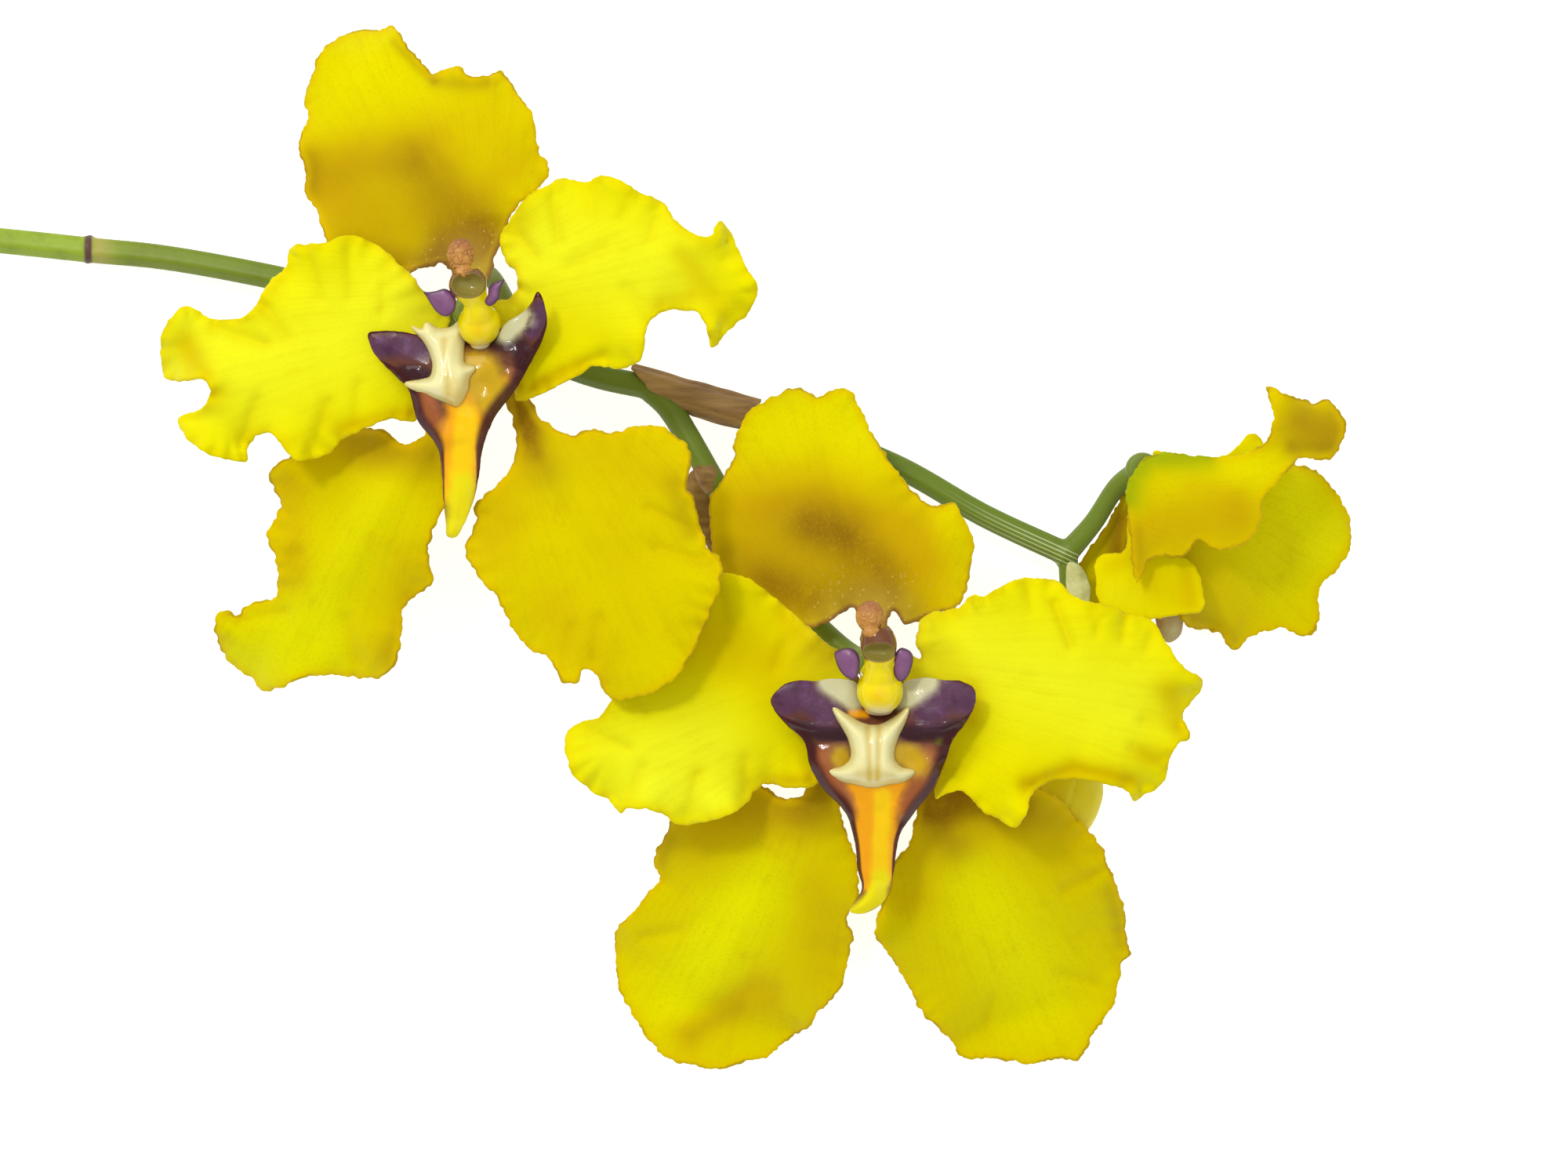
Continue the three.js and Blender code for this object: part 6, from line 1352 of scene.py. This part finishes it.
def papery(name, light, dark, fibre_scale):
    """Dry, papery bract: dull, streaked along its fibres between a dark and a light tint."""
    material, tree, shader = new_material(name, {"Roughness": 0.72})
    place = add_node(tree, "ShaderNodeTexCoord", out="Object")
    drawn = add_node(tree, "ShaderNodeMapping", {"Vector": place, "Scale": fibre_scale})
    fibre = add_node(tree, "ShaderNodeTexNoise", {"Vector": drawn, "Scale": 1.0, "Detail": 4.0,
                                                  "Roughness": 0.6})
    spread = add_node(tree, "ShaderNodeMapRange", {"Value": fibre, "From Min": 0.36, "From Max": 0.66})
    surface(tree, shader, coated(tree, linear(dark), [(light, spread)]), fibre, 0.6, distance_mm=0.2)
    return material


def across(run):
    """Two unit directions that are square to a run: one level, and one up from it."""
    side = np.cross(run, (0, 0, 1))
    side /= np.linalg.norm(side)
    return side, np.cross(side, run)


def outward(piece):
    """The piece with all its faces turned outward."""
    build = bmesh.new()
    build.from_mesh(piece.data)
    bmesh.ops.recalc_face_normals(build, faces=build.faces)
    build.to_mesh(piece.data)
    build.free()
    return piece


brown_paper = papery("dry brown bract", "#a07e4a", "#785832", (90, 900, 900))
pale_paper = papery("pale green bract", "#cdcc98", "#9fa35c", (300, 300, 300))

# The sheath: a curled sheet round the rachis, open below, with a torn far end.
line = on_sheet(spaced_line(SHEATH_LINE, SHEATH_STEP))
last = len(line) - 1
points = []
for i, middle in enumerate(line):
    share = i / last
    run = line[min(i + 1, last)] - line[max(i - 1, 0)]
    run /= np.linalg.norm(run)
    side, up = across(run)
    gap_end = math.radians(GAP_END + (GAP_END_FAR - GAP_END) * min(share / GAP_CLOSED, 1))
    covered = 2 * math.pi + math.radians(GAP_START) - gap_end
    for k in range(SHEATH_TURNS + 1):
        turn = gap_end + covered * k / SHEATH_TURNS
        crease = 0.10 * math.sin(9 * turn + 2 * share) + 0.14 * noise.noise((share * 5, turn * 1.3, 3))
        torn = 0.9 * noise.noise((turn * 1.7, 4, 9)) * share ** 4
        torn -= SHEATH_LEAD * max(math.cos(turn - math.radians(LEAD_TURN)), 0) ** 2 * (1 - share) ** 6
        out = side * math.cos(turn) + up * math.sin(turn)
        points.append(middle + run * torn + out * (SHEATH_RADIUS + crease))
width = SHEATH_TURNS + 1
faces = [(k, k + 1, k + width + 1, k + width) for row in range(last)
         for k in range(row * width, row * width + SHEATH_TURNS)]
sheath = new_piece("bract_sheath_skin", points, faces)
wall = sheath.modifiers.new("wall", "SOLIDIFY")
wall.thickness, wall.offset = SHEATH_WALL * MM, 0.0
dress(outward(applied(sheath)), brown_paper)

for i, (name, outline) in enumerate(SCRAPS.items()):
    places, triangles, edge, _, lift = blade_sheet(outline, 0.12, 110 + i, **SCRAP_MESH)
    height = lift + 0.35 * wander(places, 1.4, 115 + i) + 0.3 * swelling(edge, 0.8)
    scrap = closed_blade(name + "_skin", places, height, triangles, 0.12 + 0.1 * swelling(edge, 1), {})
    if name == "bract_branch":
        clasp = make_stalk("clasp", CLASP, brown_paper)
        dress(fuse([scrap, clasp], scrap.name, CLASP_VOXEL, smoothing=2), brown_paper)
    else:
        dress(scrap, pale_paper)

# ---- Bud ------------------------------------------------------------------------------------
# One closed bud at the end of its own stalk: three sepals folded over each other in a plump drop,
# yellow-green, with a shallow seam where each one ends.

BUD_BASE, BUD_TIP, BUD_RADIUS = (136.8, 94.2, 5.45), (135.8, 109.2, 5.2), 4.75
# The share of the way from base to tip, and the radius there as a share of the full one.
BUD_PROFILE = [(0, 0.3), (0.12, 0.62), (0.3, 0.92), (0.5, 1), (0.72, 0.8), (0.9, 0.38), (1, 0.03)]
BUD_RINGS, BUD_SIDES, BUD_LOWEST = 90, 120, 0.03
SEAM_DEPTH, SEAM_WIDTH, SEAM_TWIST = 0.03, 0.03, 0.35

# Fresh bud skin: smooth and satin, greener at its foot, with faint lengthwise streaks.
bud_skin, tree, shader = new_material("yellow-green bud skin", {"Roughness": 0.5, "Specular IOR Level": 0.2})
place = add_node(tree, "ShaderNodeTexCoord", out="Object")
drawn = add_node(tree, "ShaderNodeMapping", {"Vector": place, "Scale": (1.0, 0.2, 1.0)})
streak = add_node(tree, "ShaderNodeTexNoise", {"Vector": drawn, "Scale": 700.0, "Detail": 4.0})
split = add_node(tree, "ShaderNodeSeparateXYZ", {0: place}, "Y")
foot = add_node(tree, "ShaderNodeMapRange", {"Value": split, "From Min": -0.036, "From Max": -0.025})
colour = coated(tree, linear("#e4d204"), [("#d0c412", foot), ("#d0c012", streak)])
surface(tree, shader, colour, streak, 0.25)

base, tip = on_sheet([BUD_BASE, BUD_TIP])
axis = (tip - base) / np.linalg.norm(tip - base)
side, up = across(axis)
points = []
profile = spaced_line([(*p, 0) for p in BUD_PROFILE], 1 / BUD_RINGS)[:, :2]
for along, girth in profile:
    for k in range(BUD_SIDES):
        turn = 2 * math.pi * k / BUD_SIDES
        third = (turn / (2 * math.pi) * 3 + along * SEAM_TWIST) % 1
        seam = SEAM_DEPTH * (third - math.exp(-(min(third, 1 - third) / SEAM_WIDTH) ** 2))
        swell = 1 + seam + 0.02 * noise.noise((3 * math.cos(turn), 3 * math.sin(turn), along * 6))
        out = side * math.cos(turn) + up * math.sin(turn)
        points.append(base + (tip - base) * along + out * BUD_RADIUS * girth * swell)
last = (len(profile) - 1) * BUD_SIDES
faces = [(row + k, row + (k + 1) % BUD_SIDES, row + BUD_SIDES + (k + 1) % BUD_SIDES, row + BUD_SIDES + k)
         for row in range(0, last, BUD_SIDES) for k in range(BUD_SIDES)]
faces += [tuple(reversed(range(BUD_SIDES))), tuple(range(last, last + BUD_SIDES))]
points = np.array(points)
points[:, 2] = np.maximum(points[:, 2], BUD_LOWEST)
dress(outward(new_piece("bud_skin", points, faces)), bud_skin)
